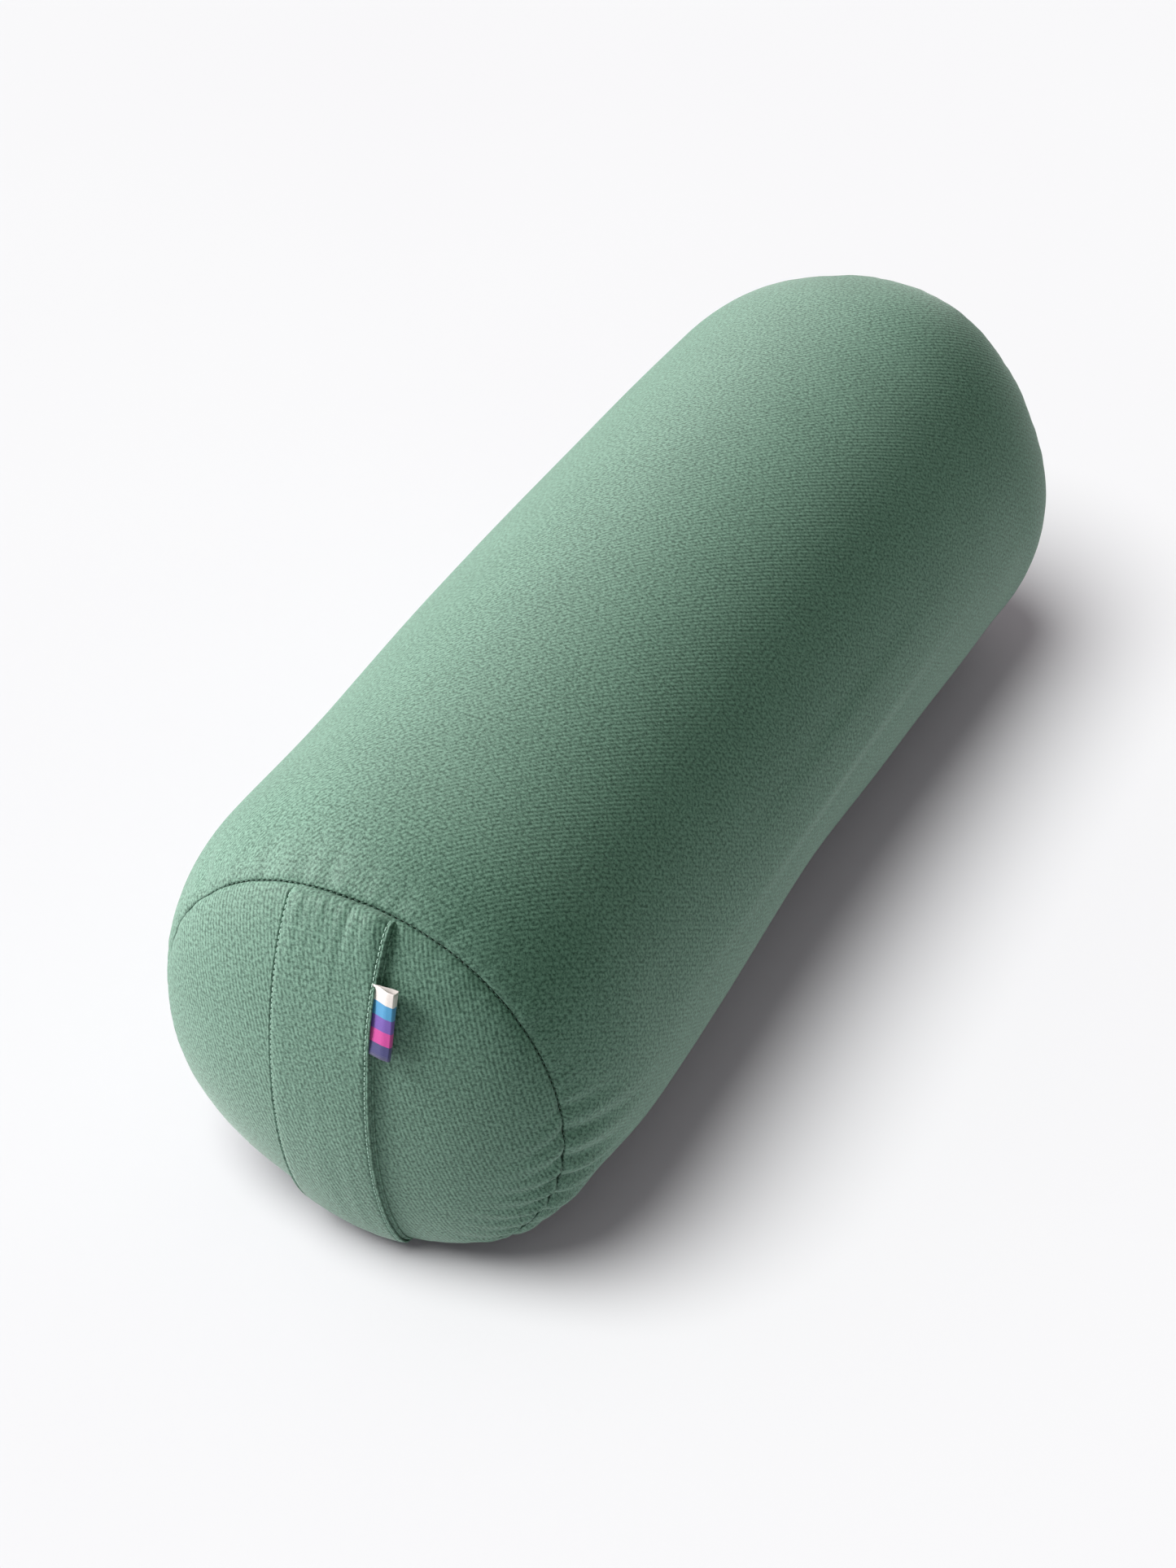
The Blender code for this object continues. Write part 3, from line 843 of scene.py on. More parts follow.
def make_tube(name, inset, zip_angle, slot_half, thickness, step, middle_step, every, gathers):
    """One long panel joined into a tube along the zip, its ends turned in at the end seams. Only
    every so many of the rows beside the seams are used: 1 is the fine mesh of the cover."""
    angles, arcs, inside = tube_columns(zip_angle, slot_half, step, every == 1)
    away, (dist, curve_r, curve_y) = tube_rows(inset, middle_step, every)
    # rows: turned-in edge, front half, rear half, turned-in edge
    fold_r = SEAM_RADIUS - inset + (SEAM_GAP - TURN_IN) / math.sqrt(2)
    fold_y = inset - HALF_SEAM + (SEAM_GAP + TURN_IN) / math.sqrt(2)
    half_r = np.concatenate([fold_r, np.interp(away, dist, curve_r)])
    half_y = np.concatenate([fold_y, np.interp(away, dist, curve_y)])
    half_away = np.concatenate([-TURN_IN, away])
    radius = np.concatenate([half_r, half_r[-2::-1]])
    y = np.concatenate([half_y, -half_y[-2::-1]])
    far = np.full(len(half_away) - 1, 1.0)
    near_front = np.concatenate([half_away, far])
    near_rear = np.concatenate([far, half_away[::-1]])
    v = np.concatenate([half_away - half_away[-1], (half_away[-1] - half_away)[-2::-1]])
    angle = angles[:, None]
    out = radius + stand_out(angle, y[None])
    yy = np.repeat(y[None], len(angles), 0)
    for near, puckers, way in ((near_front, gathers[0], 1), (near_rear, gathers[1], -1)):
        drawn = drawn_in(near)
        out = out - drawn
        yy = yy + way * drawn
        if puckers:
            depth = gathered(puckers, angle, near[None])
            along = 0.6 * np.clip(1 - near / (14 * MM), 0, 1) ** 2
            out = out - depth * (1 - along)
            yy = yy + way * depth * along
    # the strip beside the zip is flat, and the long seam is drawn in beyond the zip's ends
    facet = (ZIP_FACET_RADIUS - inset) / np.cos(np.clip(turn(angle, zip_angle), -0.09, 0.09))
    from_zip = np.minimum(arcs, ROUND - arcs)[:, None]
    flat = np.clip((13 * MM - from_zip) / (5 * MM), 0, 1)
    flat = flat * np.clip((ZIP_HALF + 30 * MM - np.abs(yy)) / (24 * MM), 0, 1)
    out = out * (1 - flat) + facet * flat
    beyond = np.clip((np.abs(yy) - ZIP_HALF) / (3 * MM), 0, 1)
    out = out - 0.8 * MM * beyond * np.exp(-((from_zip / (0.9 * MM)) ** 1.2))
    if every == 1:
        sewn = from_zip - (slot_half + 2.0 * MM)
        beside = np.clip((ZIP_HALF + 2 * MM - np.abs(yy)) / (2 * MM), 0, 1)
        out = out - 0.25 * MM * np.exp(-((sewn / (0.7 * MM)) ** 2)) * beside
    z = rest_on_floor(AXIS_HEIGHT + out * np.sin(angle), inset)
    points = np.stack([out * np.cos(angle), yy, z], -1)
    opened = np.abs(y) < ZIP_HALF + 1e-6
    open_rows = np.append(opened[:-1] & opened[1:], False)
    skip = (inside | np.roll(inside, -1))[:, None] & open_rows
    us = np.append(arcs, ROUND)[:, None]
    tube = cloth_piece(name, points, us, v[None], wrap=True, skip=skip)
    thicken(tube, thickness, 0.3 * thickness)
    return tube


def make_panel(name, inset, way, thickness, columns, step, puckers):
    """A round end panel with its edge turned in, crowned by the filling. way is -1 at the front."""
    dist, curve_r, curve_y = crown_curve(inset)
    near = PANEL_RINGS if columns > 200 else PANEL_RINGS[::2]
    away = np.concatenate([near, spaced(near[-1], dist[-1] - 3 * MM, step)[1:]])
    fold_r = SEAM_RADIUS - inset - (SEAM_GAP + TURN_IN) / math.sqrt(2)
    fold_y = inset - HALF_SEAM + (TURN_IN - SEAM_GAP) / math.sqrt(2)
    radius = np.concatenate([fold_r, np.interp(away, dist, curve_r)])
    y = np.concatenate([fold_y, np.interp(away, dist, curve_y)])
    away = np.concatenate([-TURN_IN, away])
    angle = (np.arange(columns) / columns * 2 * math.pi)[:, None]
    share = np.clip(radius / (SEAM_RADIUS - inset), 0, 1) ** 2
    drawn = drawn_in(away)
    out = radius + stand_out(angle, way * np.full(1, HALF_SEAM)) * share - drawn
    yy = np.repeat((y + drawn)[None], columns, 0)
    if puckers:
        depth = gathered(puckers, angle, away[None])
        along = np.clip(away / (16 * MM), 0, 1)
        out = out - depth * (1 - along)
        yy = yy + depth * along
    z = rest_on_floor(AXIS_HEIGHT + out * np.sin(angle), inset)
    points = np.stack([out * np.cos(angle), -way * yy, z], -1)
    reach = dist[-1] - away
    tip = (0, -way * (inset - HALF_SEAM - END_CROWN), AXIS_HEIGHT)
    us, vs = -way * reach * np.cos(angle), reach * np.sin(angle)
    panel = cloth_piece(name, points, us, vs, wrap=True, pole=tip)
    thicken(panel, thickness, 0.3 * thickness)
    return panel


cover_tube = make_tube(
    "cover_tube_cloth", 0.0, COVER_ZIP_ANGLE, COVER_SLOT_HALF, CLOTH, 1.75 * MM, 6.8 * MM, 1,
    (FRONT_TUBE, REAR_TUBE),
)
front_panel = make_panel("cover_front_panel", 0.0, -1, CLOTH, 300, 3.4 * MM, FRONT_PANEL)
rear_panel = make_panel("cover_rear_panel", 0.0, 1, CLOTH, 300, 3.4 * MM, REAR_PANEL)
finish_piece(cover_tube, "cushion", TUBE_TWILL, ["cover_tube"])
finish_piece(front_panel, "cushion", PANEL_TWILL, ["cover_end_front"])
finish_piece(rear_panel, "cushion", PANEL_TWILL, ["cover_end_rear"])

liner_tube = make_tube(
    "liner_tube_cloth", LINER_INSET, LINER_ZIP_ANGLE, LINER_SLOT_HALF, CALICO, 4.5 * MM, 12 * MM, 2,
    ((), ()),
)
liner_front = make_panel("liner_front_panel", LINER_INSET, -1, CALICO, 150, 8 * MM, ())
liner_rear = make_panel("liner_rear_panel", LINER_INSET, 1, CALICO, 150, 8 * MM, ())
finish_piece(liner_tube, "cushion", CALICO_CLOTH, ["liner_tube"])
finish_piece(liner_front, "cushion", CALICO_CLOTH, ["liner_end_front"])
finish_piece(liner_rear, "cushion", CALICO_CLOTH, ["liner_end_rear"])


def make_filling():
    """The fibre inside the liner, closed all round, with a matted and lumpy surface."""
    columns = 180
    _, crown_r, crown_y = crown_curve(FILLING_INSET)
    _, tube_r, tube_y = shoulder_curve(FILLING_INSET)
    middle = np.linspace(tube_y[299], 0, 26)[1:]
    plain = np.full(len(middle), BODY_RADIUS - FILLING_INSET)
    half_r = np.concatenate([crown_r[::-1][20::22], tube_r[10:300:20], plain])
    half_y = np.concatenate([crown_y[::-1][20::22], tube_y[10:300:20], middle])
    radius = np.concatenate([half_r, half_r[-2::-1]])
    y = np.concatenate([half_y, -half_y[-2::-1]])
    angle = (np.arange(columns) / columns * 2 * math.pi)[:, None]
    share = np.clip(radius / (SEAM_RADIUS - FILLING_INSET), 0, 1) ** 2
    out = radius + stand_out(angle, np.clip(y, -HALF_SEAM, HALF_SEAM)[None]) * share
    draw = random.Random(21)
    for _ in range(260):
        centre, along = draw.uniform(0, 2 * math.pi), draw.uniform(-0.28, 0.28)
        size, deep = draw.uniform(5, 11) * MM, draw.uniform(0.2, 1.1) * MM
        dent = bell(turn(angle, centre) * BODY_RADIUS, size) * bell(y - along, size)
        out = out - deep * share * dent
    z = rest_on_floor(AXIS_HEIGHT + out * np.sin(angle), FILLING_INSET)
    points = np.stack([out * np.cos(angle), np.broadcast_to(y, z.shape), z], -1)
    us = angle * BODY_RADIUS
    return cloth_piece("filling_fibre_core", points, us, y[None], wrap=True, ends=True)


filling = finish_piece(make_filling(), "cushion", BATTING, ["filling"])


# ---- Stitches ------------------------------------------------------------------------------------


def stitch_shape():
    """One stitch, modelled once: a six-sided stub of thread with both ends drawn in."""
    deselect()
    bpy.ops.mesh.primitive_cylinder_add(vertices=6, radius=1.0, depth=0.6, end_fill_type="NGON")
    stub = bpy.context.object
    bpy.ops.object.mode_set(mode="EDIT")
    for way in (1, -1):
        bpy.ops.mesh.select_all(action="DESELECT")
        bpy.ops.object.mode_set(mode="OBJECT")
        for polygon in stub.data.polygons:
            polygon.select = polygon.normal.z * way > 0.9
        bpy.ops.object.mode_set(mode="EDIT")
        bpy.ops.mesh.extrude_region_move(TRANSFORM_OT_translate={"value": (0, 0, 0.2 * way)})
        bpy.ops.transform.resize(value=(0.5, 0.5, 1))
    bpy.ops.object.mode_set(mode="OBJECT")
    return shape_of(stub)


STITCH = stitch_shape()


def stitch_run(name, stitches, radius, arch):
    """Copies of the one stitch, each from one point to another and humped along its normal."""
    points, faces = STITCH
    verts, polys = [], []
    for start, end, up in stitches:
        start, end, up = Vector(start), Vector(end), Vector(up).normalized()
        along = end - start
        side = along.cross(up).normalized()
        rise = side.cross(along).normalized()
        base = len(verts)
        middle = (start + end) / 2
        for x, y, z in points:
            hump = arch * (1 - 4 * z * z)
            verts.append(middle + along * z + side * x * radius + rise * (y * radius + hump))
        polys += [[i + base for i in face] for face in faces]
    return solid_piece(name, verts, polys, 60)


def seam_radius(angle, way):
    """An end seam's radius at this angle, at the front (way -1) or at the rear (way 1)."""
    return SEAM_RADIUS + float(stand_out(np.array(angle), np.array(way * HALF_SEAM)))


def seam_stitches(name, way):
    """Short stitches seen in an end seam, from the panel across to the tube."""
    pitch, length = 2.9 * MM, 2.1 * MM
    made = []
    count = int(2 * math.pi * SEAM_RADIUS / pitch)
    for i in range(count):
        ends = []
        for shift in (-0.5, 0.5):
            angle = (i + shift * length / pitch) / count * 2 * math.pi
            outwards = Vector((math.cos(angle), 0, math.sin(angle)))
            seam = Vector((0, way * HALF_SEAM, AXIS_HEIGHT)) + outwards * seam_radius(angle, way)
            aim = (outwards + Vector((0, way, 0))) * math.sqrt(0.5)
            ends.append(seam - aim * (SEAM_PULL + 0.05 * MM))
        if min(p.z for p in ends) >= 1.5 * MM:
            made.append((*ends, aim))
    return stitch_run(name, made, 0.32 * MM, 0.25 * MM)


for name, way in (("front_seam_stitches", -1), ("rear_seam_stitches", 1)):
    finish_piece(seam_stitches(name, way), "cushion", GREEN_THREAD)


def zip_frame(angle, facet_radius):
    """Origin and directions of a zip: across it upwards, along the bolster, and outwards."""
    outwards = Vector((math.cos(angle), 0, math.sin(angle)))
    across = Vector((-math.sin(angle), 0, math.cos(angle)))
    if across.z < 0:
        across = -across
    return CENTRE + outwards * facet_radius, across, Vector((0, 1, 0)), outwards


COVER_FRAME = zip_frame(COVER_ZIP_ANGLE, ZIP_FACET_RADIUS)
LINER_FRAME = zip_frame(LINER_ZIP_ANGLE, ZIP_FACET_RADIUS - LINER_INSET)


def zip_topstitching():
    """Two rows beside the zip, a row across each end, and the stitches of the long seam."""
    made = []
    pitch, length = 3.0 * MM, 2.5 * MM
    offset = COVER_SLOT_HALF + 2.0 * MM
    row_end = ZIP_HALF + 2.0 * MM
    origin, x, y, outwards = COVER_FRAME
    cloth = tree_of(cover_tube)

    def sewn(*places):
        ends = []
        for across, along in places:
            above = origin + x * across + y * along + outwards * (10 * MM)
            hit, normal, _, _ = cloth.ray_cast(above, -outwards)
            if hit is None:
                return
            ends.append(hit + normal * (0.02 * MM))
        made.append((*ends, outwards))

    for side in (-1, 1):
        for i in range(int(2 * row_end / pitch)):
            start = -row_end + i * pitch
            sewn((side * offset, start), (side * offset, start + length))
    for end in (-1, 1):
        for i in range(int(2 * offset / pitch)):
            start = -offset + (i + 0.1) * pitch
            sewn((start, end * row_end), (start + length, end * row_end))
        along = ZIP_HALF + 5 * MM
        while along < HALF_SEAM - 6 * MM:
            sewn((0.0, end * along), (0.0, end * (along + 1.8 * MM)))
            along += pitch
    return stitch_run("zip_topstitching", made, 0.26 * MM, 0.18 * MM)


finish_piece(zip_topstitching(), "cushion", PALE_THREAD)

# ---- The carrying strap across the front end -----------------------------------------------------


def strap_line():
    """Points and outward directions down the middle of the strap, from top seam to bottom seam."""
    dist, radius, y = crown_curve(0.0)
    total = dist[-1]
    away = spaced(0.8 * MM, total, 2.0 * MM)
    r = np.interp(away, dist, radius)
    yy = np.interp(away, dist, y)
    top = [(Vector((0, b, AXIS_HEIGHT + a)), c) for a, b, c in zip(r, yy, total - away)]
    low = [(Vector((0, b, AXIS_HEIGHT - a)), c - total) for a, b, c in zip(r, yy, away)]
    path = top[:-1] + low[::-1]
    made = []
    for i, (point, at) in enumerate(path):
        before, after = path[max(i - 1, 0)][0], path[min(i + 1, len(path) - 1)][0]
        along = (after - before).normalized()
        outwards = Vector((0, along.z, -along.y))
        made.append((point, outwards, at))
    return made


STRAP_LINE = strap_line()
STRAP_LENGTH = sum((a[0] - b[0]).length for a, b in zip(STRAP_LINE[:-1], STRAP_LINE[1:]))
FRONT_TREE = tree_of(front_panel)


def strap_wrinkles():
    """Soft folds down the strap: place across and width in mm, distance up the strap in metres,
    reach and rise in mm. Those at the top are made where the seam gathers the strap."""
    draw = random.Random(17)
    made = []
    for across in (-19.0, -13.5, -8.5, -4.0, 1.5, 7.0, 12.5, 17.0):
        width, reach = draw.uniform(1.5, 2.1), draw.uniform(16, 30)
        across += draw.uniform(-0.8, 0.8)
        made.append((across, width, 0.099, reach, draw.uniform(0.55, 0.95)))
    ranges = ((-20, 20), (1.4, 2.6), (-0.08, 0.05), (18, 40), (-0.22, 0.26))
    for _ in range(12):
        made.append([draw.uniform(*ends) for ends in ranges])
    return made


STRAP_WRINKLES = strap_wrinkles()


def seam_height(x, way):
    """How far above (way 1) or below (way -1) the axis the front seam is, at this x."""
    height = SEAM_RADIUS
    for _ in range(4):
        angle = math.atan2(way * height, x)
        height = math.sqrt(seam_radius(angle, -1) ** 2 - x * x)
    return height


def strap_layer(name, edges, lift_left, lift_right, sewn_at, wrinkled):
    """One folded layer of the strap, lying on the end panel between the two seams. It is lifted
    off the panel at its left and right edges, and drawn in along each sewn line."""
    left, right = edges
    above, furthest = 20 * MM, 35 * MM
    inner = spaced(left + 4.0 * MM, right - 4.0 * MM, 1.6 * MM)
    rim = np.array([0, 0.5, 1.1, 1.7, 2.3, 3.0]) * MM
    across = np.concatenate([left + rim, inner, (right - rim)[::-1]])
    points = np.zeros((len(across), len(STRAP_LINE), 3))
    for i, x in enumerate(across):
        share = (x - STRAP_SHIFT + STRAP_HALF) / (2 * STRAP_HALF)
        lift = lift_left + (lift_right - lift_left) * min(max(share, 0), 1) ** 0.6
        for j, (point, outwards, at) in enumerate(STRAP_LINE):
            up_share = (point.z - AXIS_HEIGHT) / SEAM_RADIUS
            z = AXIS_HEIGHT + up_share * seam_height(x, math.copysign(1, up_share))
            begin = Vector((x, point.y, z)) + outwards * above
            hit, _, _, _ = FRONT_TREE.ray_cast(begin, -outwards)
            if hit is None or (hit - begin).length > furthest:
                hit = Vector((x, point.y, z)) - outwards * 1 * MM
            end = min(max((STRAP_LENGTH / 2 - abs(at)) / (7 * MM), 0.0), 1.0)
            up = lift * math.sqrt(end * (2 - end)) - 1.0 * MM * (1 - end) ** 6
            if wrinkled:
                for centre, width, top, reach, rise in STRAP_WRINKLES:
                    up += rise * MM * math.exp(-(((x / MM - centre) / width) ** 2)) * math.exp(
                        -(((at - top) / (reach * MM)) ** 2)
                    )
                over_label = (LABEL_HEIGHT / 2 + 3 * MM - abs(at - LABEL_AT)) / (3 * MM)
                over_label = min(max(over_label, 0), 1)
                up += 0.75 * MM * over_label * math.exp(-(((x - right) / (4.5 * MM)) ** 2))
            for line, deep in sewn_at:
                up -= deep * math.exp(-(((x - line) / (0.55 * MM)) ** 2))
            roll = min(abs(x - left), abs(right - x))
            up -= 0.25 * MM * math.exp(-roll / (0.6 * MM))
            points[i, j] = hit + outwards * up
    vs = np.array([[s[2] for s in STRAP_LINE]])
    layer = cloth_piece(name, points, across[:, None], vs)
    thicken(layer, STRAP_PLY, 0.35 * STRAP_PLY, 0.0)
    return layer


UNDER_EDGES = (STRAP_SHIFT - STRAP_HALF, STRAP_SHIFT + STRAP_HALF + 1.3 * MM)
TOP_EDGES = (STRAP_SHIFT - STRAP_HALF + 0.2 * MM, STRAP_SHIFT + STRAP_HALF)
LEFT_SEWN = TOP_EDGES[0] + 1.6 * MM
RIGHT_SEWN = TOP_EDGES[1] - 1.5 * MM
UNDER_SEWN = ((UNDER_EDGES[1] - 1.0 * MM, 0.65 * MM),)
TOP_SEWN = ((LEFT_SEWN, 1.05 * MM), (RIGHT_SEWN, 0.65 * MM))
under_layer = strap_layer(
    "strap_under_layer", UNDER_EDGES, 0.75 * MM, 0.9 * MM, UNDER_SEWN, False
)
top_layer = strap_layer("strap_top_layer", TOP_EDGES, 2.7 * MM, 2.5 * MM, TOP_SEWN, True)
finish_piece(under_layer, "cushion", STRAP_TWILL, ["strap_inner_ply"])
finish_piece(top_layer, "cushion", STRAP_TWILL, ["strap_outer_ply"])


def strap_stitching():
    """A row of stitches down each edge of the strap, lying on its top layer."""
    made = []
    top = tree_of(top_layer)
    pitch, length, above = 2.6 * MM, 2.1 * MM, 30 * MM
    points, outs, ats = (np.array(column)[::-1] for column in zip(*STRAP_LINE))

    def at_line(x, at):
        _, y, z = (float(np.interp(at, ats, points[:, k])) for k in range(3))
        outwards = Vector([float(np.interp(at, ats, outs[:, k])) for k in range(3)]).normalized()
        hit, _, _, _ = top.ray_cast(Vector((x, y, z)) + outwards * above, -outwards)
        return hit, outwards

    for x in (LEFT_SEWN, RIGHT_SEWN):
        at = ats[0] + 4 * MM
        while at < ats[-1] - 4 * MM:
            first, up = at_line(x, at)
            second, _ = at_line(x, at + length)
            if first is not None and second is not None:
                made.append((first, second, up))
            at += pitch
    return stitch_run("strap_stitching", made, 0.30 * MM, 0.26 * MM)


strap_stitches = finish_piece(strap_stitching(), "cushion", PALE_THREAD)

# ---- Labels --------------------------------------------------------------------------------------

LABEL_HINGE = Vector((0.0243, -0.290675, 0.1606))
LABEL_UP = Vector((0, 0.272918, 0.962037))
LABEL_OUT = Vector((0, -0.962037, 0.272918))
LABEL_REACH = 11.6 * MM
LABEL_COLOURS = ("C9C5C0", "2780AC", "583892", "B02682", "242660")[::-1]


def side_label():
    """A folded ribbon, sewn into the strap's edge by both ends, its fold standing slightly open."""
    count = 25
    s = np.linspace(-1, 1, count)
    reach = LABEL_REACH * (1 - np.abs(s) ** 2.2)
    free = np.clip((reach - 2.6 * MM) / (5.5 * MM), 0, 1)
    bow = np.sign(s) * (0.17 * MM + 0.8 * MM * free**0.8) * np.minimum(1, np.abs(s) / 0.12)
    lift = -0.5 * MM + 0.5 * MM * free
    heights = np.linspace(-0.5, 0.5, 15) * LABEL_HEIGHT
    points = np.zeros((count, len(heights), 3))
    for i in range(count):
        for j, up in enumerate(heights):
            flare = 1 + 0.9 * free[i] * (up / LABEL_HEIGHT + 0.5) ** 2
            droop = 0.35 * MM * math.sin(up / LABEL_HEIGHT * 5) * reach[i] / LABEL_REACH
            across = Vector((reach[i] - 3.9 * MM, 0, 0))
            out = LABEL_OUT * (lift[i] + bow[i] * flare + droop)
            points[i, j] = LABEL_HINGE + LABEL_UP * (up - 2.4 * MM) + across + out
    steps = np.linalg.norm(np.diff(points[:, 0], axis=0), axis=1)
    run = np.concatenate([[0], np.cumsum(steps)])
    vs = (heights + LABEL_HEIGHT / 2)[None]
    ribbon = cloth_piece("side_label_ribbon", points, run[:, None], vs)
    thicken(ribbon, RIBBON, 0.0, 0.0)
    return ribbon, float(run[-1])


LABEL_SATIN = satin_ribbon("woven_satin_striped", LABEL_COLOURS, LABEL_HEIGHT)
label, label_run = side_label()
label.data.materials.append(LABEL_SATIN)
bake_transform(label)
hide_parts("label_tab")

CARE_SATIN = satin_ribbon("care_label_satin", ("F2F0EA", "E9E6DE"), 30 * MM)


def care_label():
    """A plain satin label inside the cover, curved round the liner below the zip."""
    low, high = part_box("care_label")
    radius = math.hypot(low.x, (low.z + high.z) / 2 - AXIS_HEIGHT) - 0.2 * MM
    angles = np.linspace(math.radians(180.4), math.radians(197.6), 22)[:, None]
    ys = np.linspace(low.y, high.y, 16)[None]
    curled = radius + 0.25 * MM * np.sin(ys / high.y * 3 + np.arange(22)[:, None] * 0.2)
    height = AXIS_HEIGHT + curled * np.sin(angles)
    along = np.broadcast_to(ys, height.shape)
    points = np.stack([curled * np.cos(angles), along, height], -1)
    run = (angles[-1] - angles) * radius
    ribbon = cloth_piece("care_label_ribbon", points, ys, run)
    thicken(ribbon, RIBBON, 0.0, 0.0)
    return ribbon, float(run.max()), float(high.y - low.y)


care, care_length, care_width = care_label()
finish_piece(care, "cushion", CARE_SATIN, ["care_label"])

# ---- Zips ----------------------------------------------------------------------------------------


def copy_of_node(node, name):
    """A CAD node's shape as a new piece, with its doubled points merged."""
    obj = new_object(name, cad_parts[node].data.copy())
    activate(obj)
    edit_all(
        (bpy.ops.mesh.remove_doubles, {"threshold": 0.002 * MM}),
        (bpy.ops.mesh.dissolve_limited, {"angle_limit": math.radians(1)}),
        (bpy.ops.mesh.normals_make_consistent, {"inside": False}),
    )
    return obj


def round_edges(obj, width):
    bevel = obj.modifiers.new("Cast edges", "BEVEL")
    bevel.width = width
    bevel.segments = 2
    bevel.limit_method = "ANGLE"
    bevel.angle_limit = math.radians(35)
    bevel.use_clamp_overlap = True
    apply_modifiers(obj)
    smooth(obj, 50)


def zip_metalwork(prefix, slider_body, pull_body):
    """The slider, its pull and the stops, cast with soft edges."""
    for word, body, width in (
        ("top_stop_upper", "cushion", 0.15),
        ("top_stop_lower", "cushion", 0.15),
        ("bottom_stop", "cushion", 0.15),
        ("slider", slider_body, 0.16),
        ("pull", pull_body, 0.14),
    ):
        node = f"{prefix}_zip_{word}"
        part = copy_of_node(node, f"{node}_cast")
        round_edges(part, width * MM)
        finish_piece(part, body, ZINC, [node])


def coil_tooth():
    """One turn of a zip's coil, modelled once: a bar across the tape with a swollen head."""
    deselect()
    bpy.ops.mesh.primitive_cube_add(size=1.0)
    edit_all((bpy.ops.mesh.bevel, {"offset": 0.24, "segments": 2, "affect": "EDGES"}))
    points, faces = shape_of(bpy.context.object)
    head = np.clip(-points[:, 0] * 2, 0, 1)
    points[:, 1] *= 1 + 0.35 * head
    return points, faces


TOOTH = coil_tooth()


def node_in_zip(node, zip_at):
    """A CAD node's reach in its zip: near and far edge across, ends along, bottom and top."""
    origin, x, _, z = zip_at
    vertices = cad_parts[node].data.vertices
    local = np.array([((v.co - origin).dot(x), v.co.y, (v.co - origin).dot(z)) for v in vertices])
    low, high = local.min(0), local.max(0)
    near, far = sorted((low[0], high[0]), key=abs)
    return near, far, low[1], high[1], low[2], high[2]


def coil(prefix, word, zip_at, phase, material):
    """A row of teeth in the space of the CAD coil."""
    node = f"{prefix}_zip_coil_{word}"
    origin, x, _, z = zip_at
    near, far, _, _, bottom, top = node_in_zip(node, zip_at)
    near *= 0.68  # the heads of the two rows reach into each other
    low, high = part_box(node)
    length = high.y - low.y
    count = int(length / (1.3 * MM))
    points, faces = TOOTH
    verts, polys = [], []
    for i in range(count):
        middle = low.y + (i + 0.5 + phase * 0.5) * length / (count + 0.5)
        base = len(verts)
        for px, py, pz in points:
            across = near + (far - near) * (px + 0.5)
            height = bottom + (top - bottom) * (pz + 0.5)
            verts.append(origin + x * across + Vector((0, middle + py * 0.78 * MM, 0)) + z * height)
        polys += [[k + base for k in face] for face in faces]
    teeth = solid_piece(f"{node}_teeth", verts, polys, 50)
    finish_piece(teeth, "cushion", material, [node])


def tape(prefix, word, zip_at, thickness, material):
    """A woven tape with a raised selvedge beside the teeth, in the space of the CAD tape."""
    node = f"{prefix}_zip_tape_{word}"
    origin, x, _, z = zip_at
    near, far, low, high, bottom, top = node_in_zip(node, zip_at)
    middle = (bottom + top) / 2
    shares = np.array([0, 0.04, 0.1, 0.16, 0.24, 0.34, 0.5, 0.7, 0.86, 0.93, 0.97, 1.0])
    raised = np.array([0, 0.5, 0.5, 0, 0, 0, 0, 0, 0, 0.4, 0.4, 0]) * 0.2 * MM
    ys = np.linspace(low, high, 90)
    points = np.zeros((len(shares), len(ys), 3))
    for i, share in enumerate(shares):
        across = near + (far - near) * share
        for j, y in enumerate(ys):
            wave = 0.05 * MM * math.sin(y / MM * 0.9 + share * 3)
            points[i, j] = origin + x * across + Vector((0, y, 0)) + z * (middle + raised[i] + wave)
    us = (near + (far - near) * shares)[:, None]
    piece = cloth_piece(f"{node}_woven", points, us, ys[None])
    thicken(piece, thickness, 0.0, 0.0)
    finish_piece(piece, "cushion", material, [node])


for index, word in enumerate(("upper", "lower")):
    coil("cover", word, COVER_FRAME, index, GREEN_NYLON)
    coil("liner", word, LINER_FRAME, index, CREAM_NYLON)
    tape("cover", word, COVER_FRAME, 0.45 * MM, GREEN_TAPE)
    tape("liner", word, LINER_FRAME, 0.4 * MM, CREAM_TAPE)
zip_metalwork("cover", "cover_slider", "cover_pull")
zip_metalwork("liner", "liner_slider", "liner_slider")

# ---- Floor, lights and camera --------------------------------------------------------------------


def make_floor():
    """A wide sheet of pale studio paper, with the faintest unevenness."""
    deselect()
    bpy.ops.mesh.primitive_plane_add(size=80.0, location=(0, 0, -0.3 * MM))
    floor = bpy.context.object
    floor.name = "floor"
    bpy.ops.object.transform_apply(location=True, rotation=True, scale=True)
    material, tree = new_material("studio_paper")
    place_at = add_node(tree, "TexCoord")
    cloud = add_node(tree, "TexNoise", {"Vector": place_at.outputs["Object"], "Scale": 2.0})
    colour = add_node(
        tree, "Mix", {0: cloud.outputs["Fac"], 6: linear("F7D3EF"), 7: linear("FAD7F2")},
        data_type="RGBA",
    )
    close_material(tree, colour.outputs[2], None, {"Roughness": 0.9})
    floor.data.materials.append(material)
    return floor


floor = make_floor()


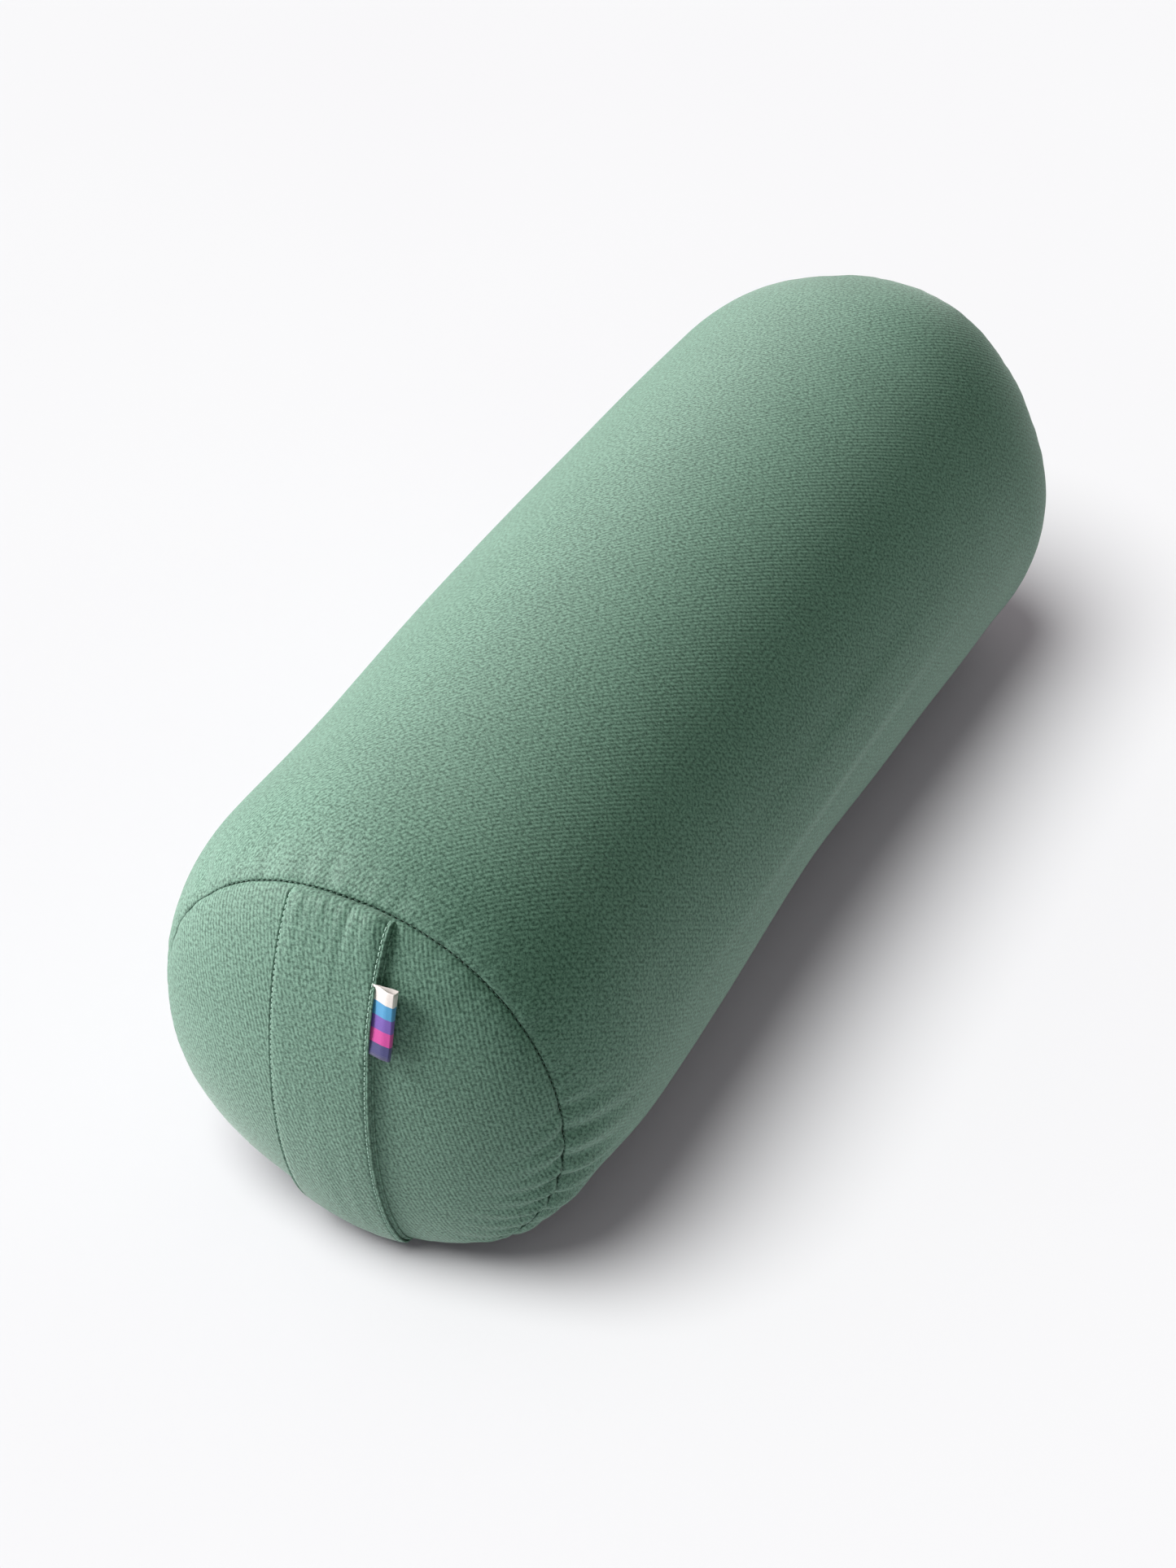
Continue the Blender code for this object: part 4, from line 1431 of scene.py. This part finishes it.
def add_lamp(name, kind, power, colour, floor_state, **settings):
    """A lamp linked to the floor: EXCLUDE keeps its light off the floor, INCLUDE on it alone."""
    data = bpy.data.lights.new(name, kind)
    data.energy = power
    data.color = linear(colour)[:3]
    for setting, value in settings.items():
        setattr(data, setting, value)
    lamp = new_object(name, data)
    group = bpy.data.collections.new(f"{name}_receivers")
    group.objects.link(floor)
    group.collection_objects[0].light_linking.link_state = floor_state
    lamp.light_linking.receiver_collection = group
    return lamp


for name, place_at, size, power in (
    ("key_softbox", (-1.70, -0.78, 1.64), 0.8, 93),
    ("rear_softbox", (-1.10, 1.60, 1.40), 0.9, 31),
    ("side_softbox", (-1.50, -1.02, 0.02), 0.8, 43),
):
    lamp = add_lamp(name, "AREA", power, "FFF5F8", "EXCLUDE", shape="DISK", size=size)
    lamp.location = place_at
    aim = Vector((0, 0, 0.1)) - lamp.location
    lamp.rotation_euler = aim.to_track_quat("-Z", "Y").to_euler()
# the even light of a wide silk overhead, which draws the shadow on the floor
silk = add_lamp("floor_silk", "SUN", 3.88, "DAFFE3", "INCLUDE", angle=math.radians(38))
silk.rotation_euler = Vector((-0.21, -0.36, 0.91)).to_track_quat("Z", "Y").to_euler()


world = bpy.data.worlds.new("studio")
bpy.context.scene.world = world
world.use_nodes = True
tree = world.node_tree
tree.nodes.clear()
direction = add_node(tree, "TexCoord")
height = add_node(tree, "SeparateXYZ", {0: direction.outputs["Generated"]})
strength = add_node(
    tree, "MapRange",
    {"Value": height.outputs["Z"], "From Min": 0.0, "To Min": 0.10, "To Max": 0.40},
)
fill = add_node(tree, "Background", {"Color": linear("E3FFE8"), "Strength": strength.outputs[0]})
wall = add_node(tree, "Background", {"Color": linear("F7F6F7"), "Strength": 1.0})
seen = add_node(tree, "LightPath")
either = add_node(
    tree, "MixShader", {0: seen.outputs["Is Camera Ray"], 1: fill.outputs[0], 2: wall.outputs[0]}
)
add_node(tree, "OutputWorld", {"Surface": either.outputs[0]})
bpy.context.scene.view_settings.view_transform = "Standard"
bpy.context.scene.view_settings.look = "None"

camera_data = bpy.data.cameras.new("camera")
camera_data.sensor_width = 36.0
camera_data.lens = 68.0
camera_data.clip_start = 0.05
camera = new_object("camera", camera_data)
camera.location = (0.48815593, -1.00015582, 0.98138767)
look_at = Vector((-0.01371811, -0.0367635, 0.0784016))
camera.rotation_euler = (look_at - camera.location).to_track_quat("-Z", "Y").to_euler()
bpy.context.scene.camera = camera

deselect()
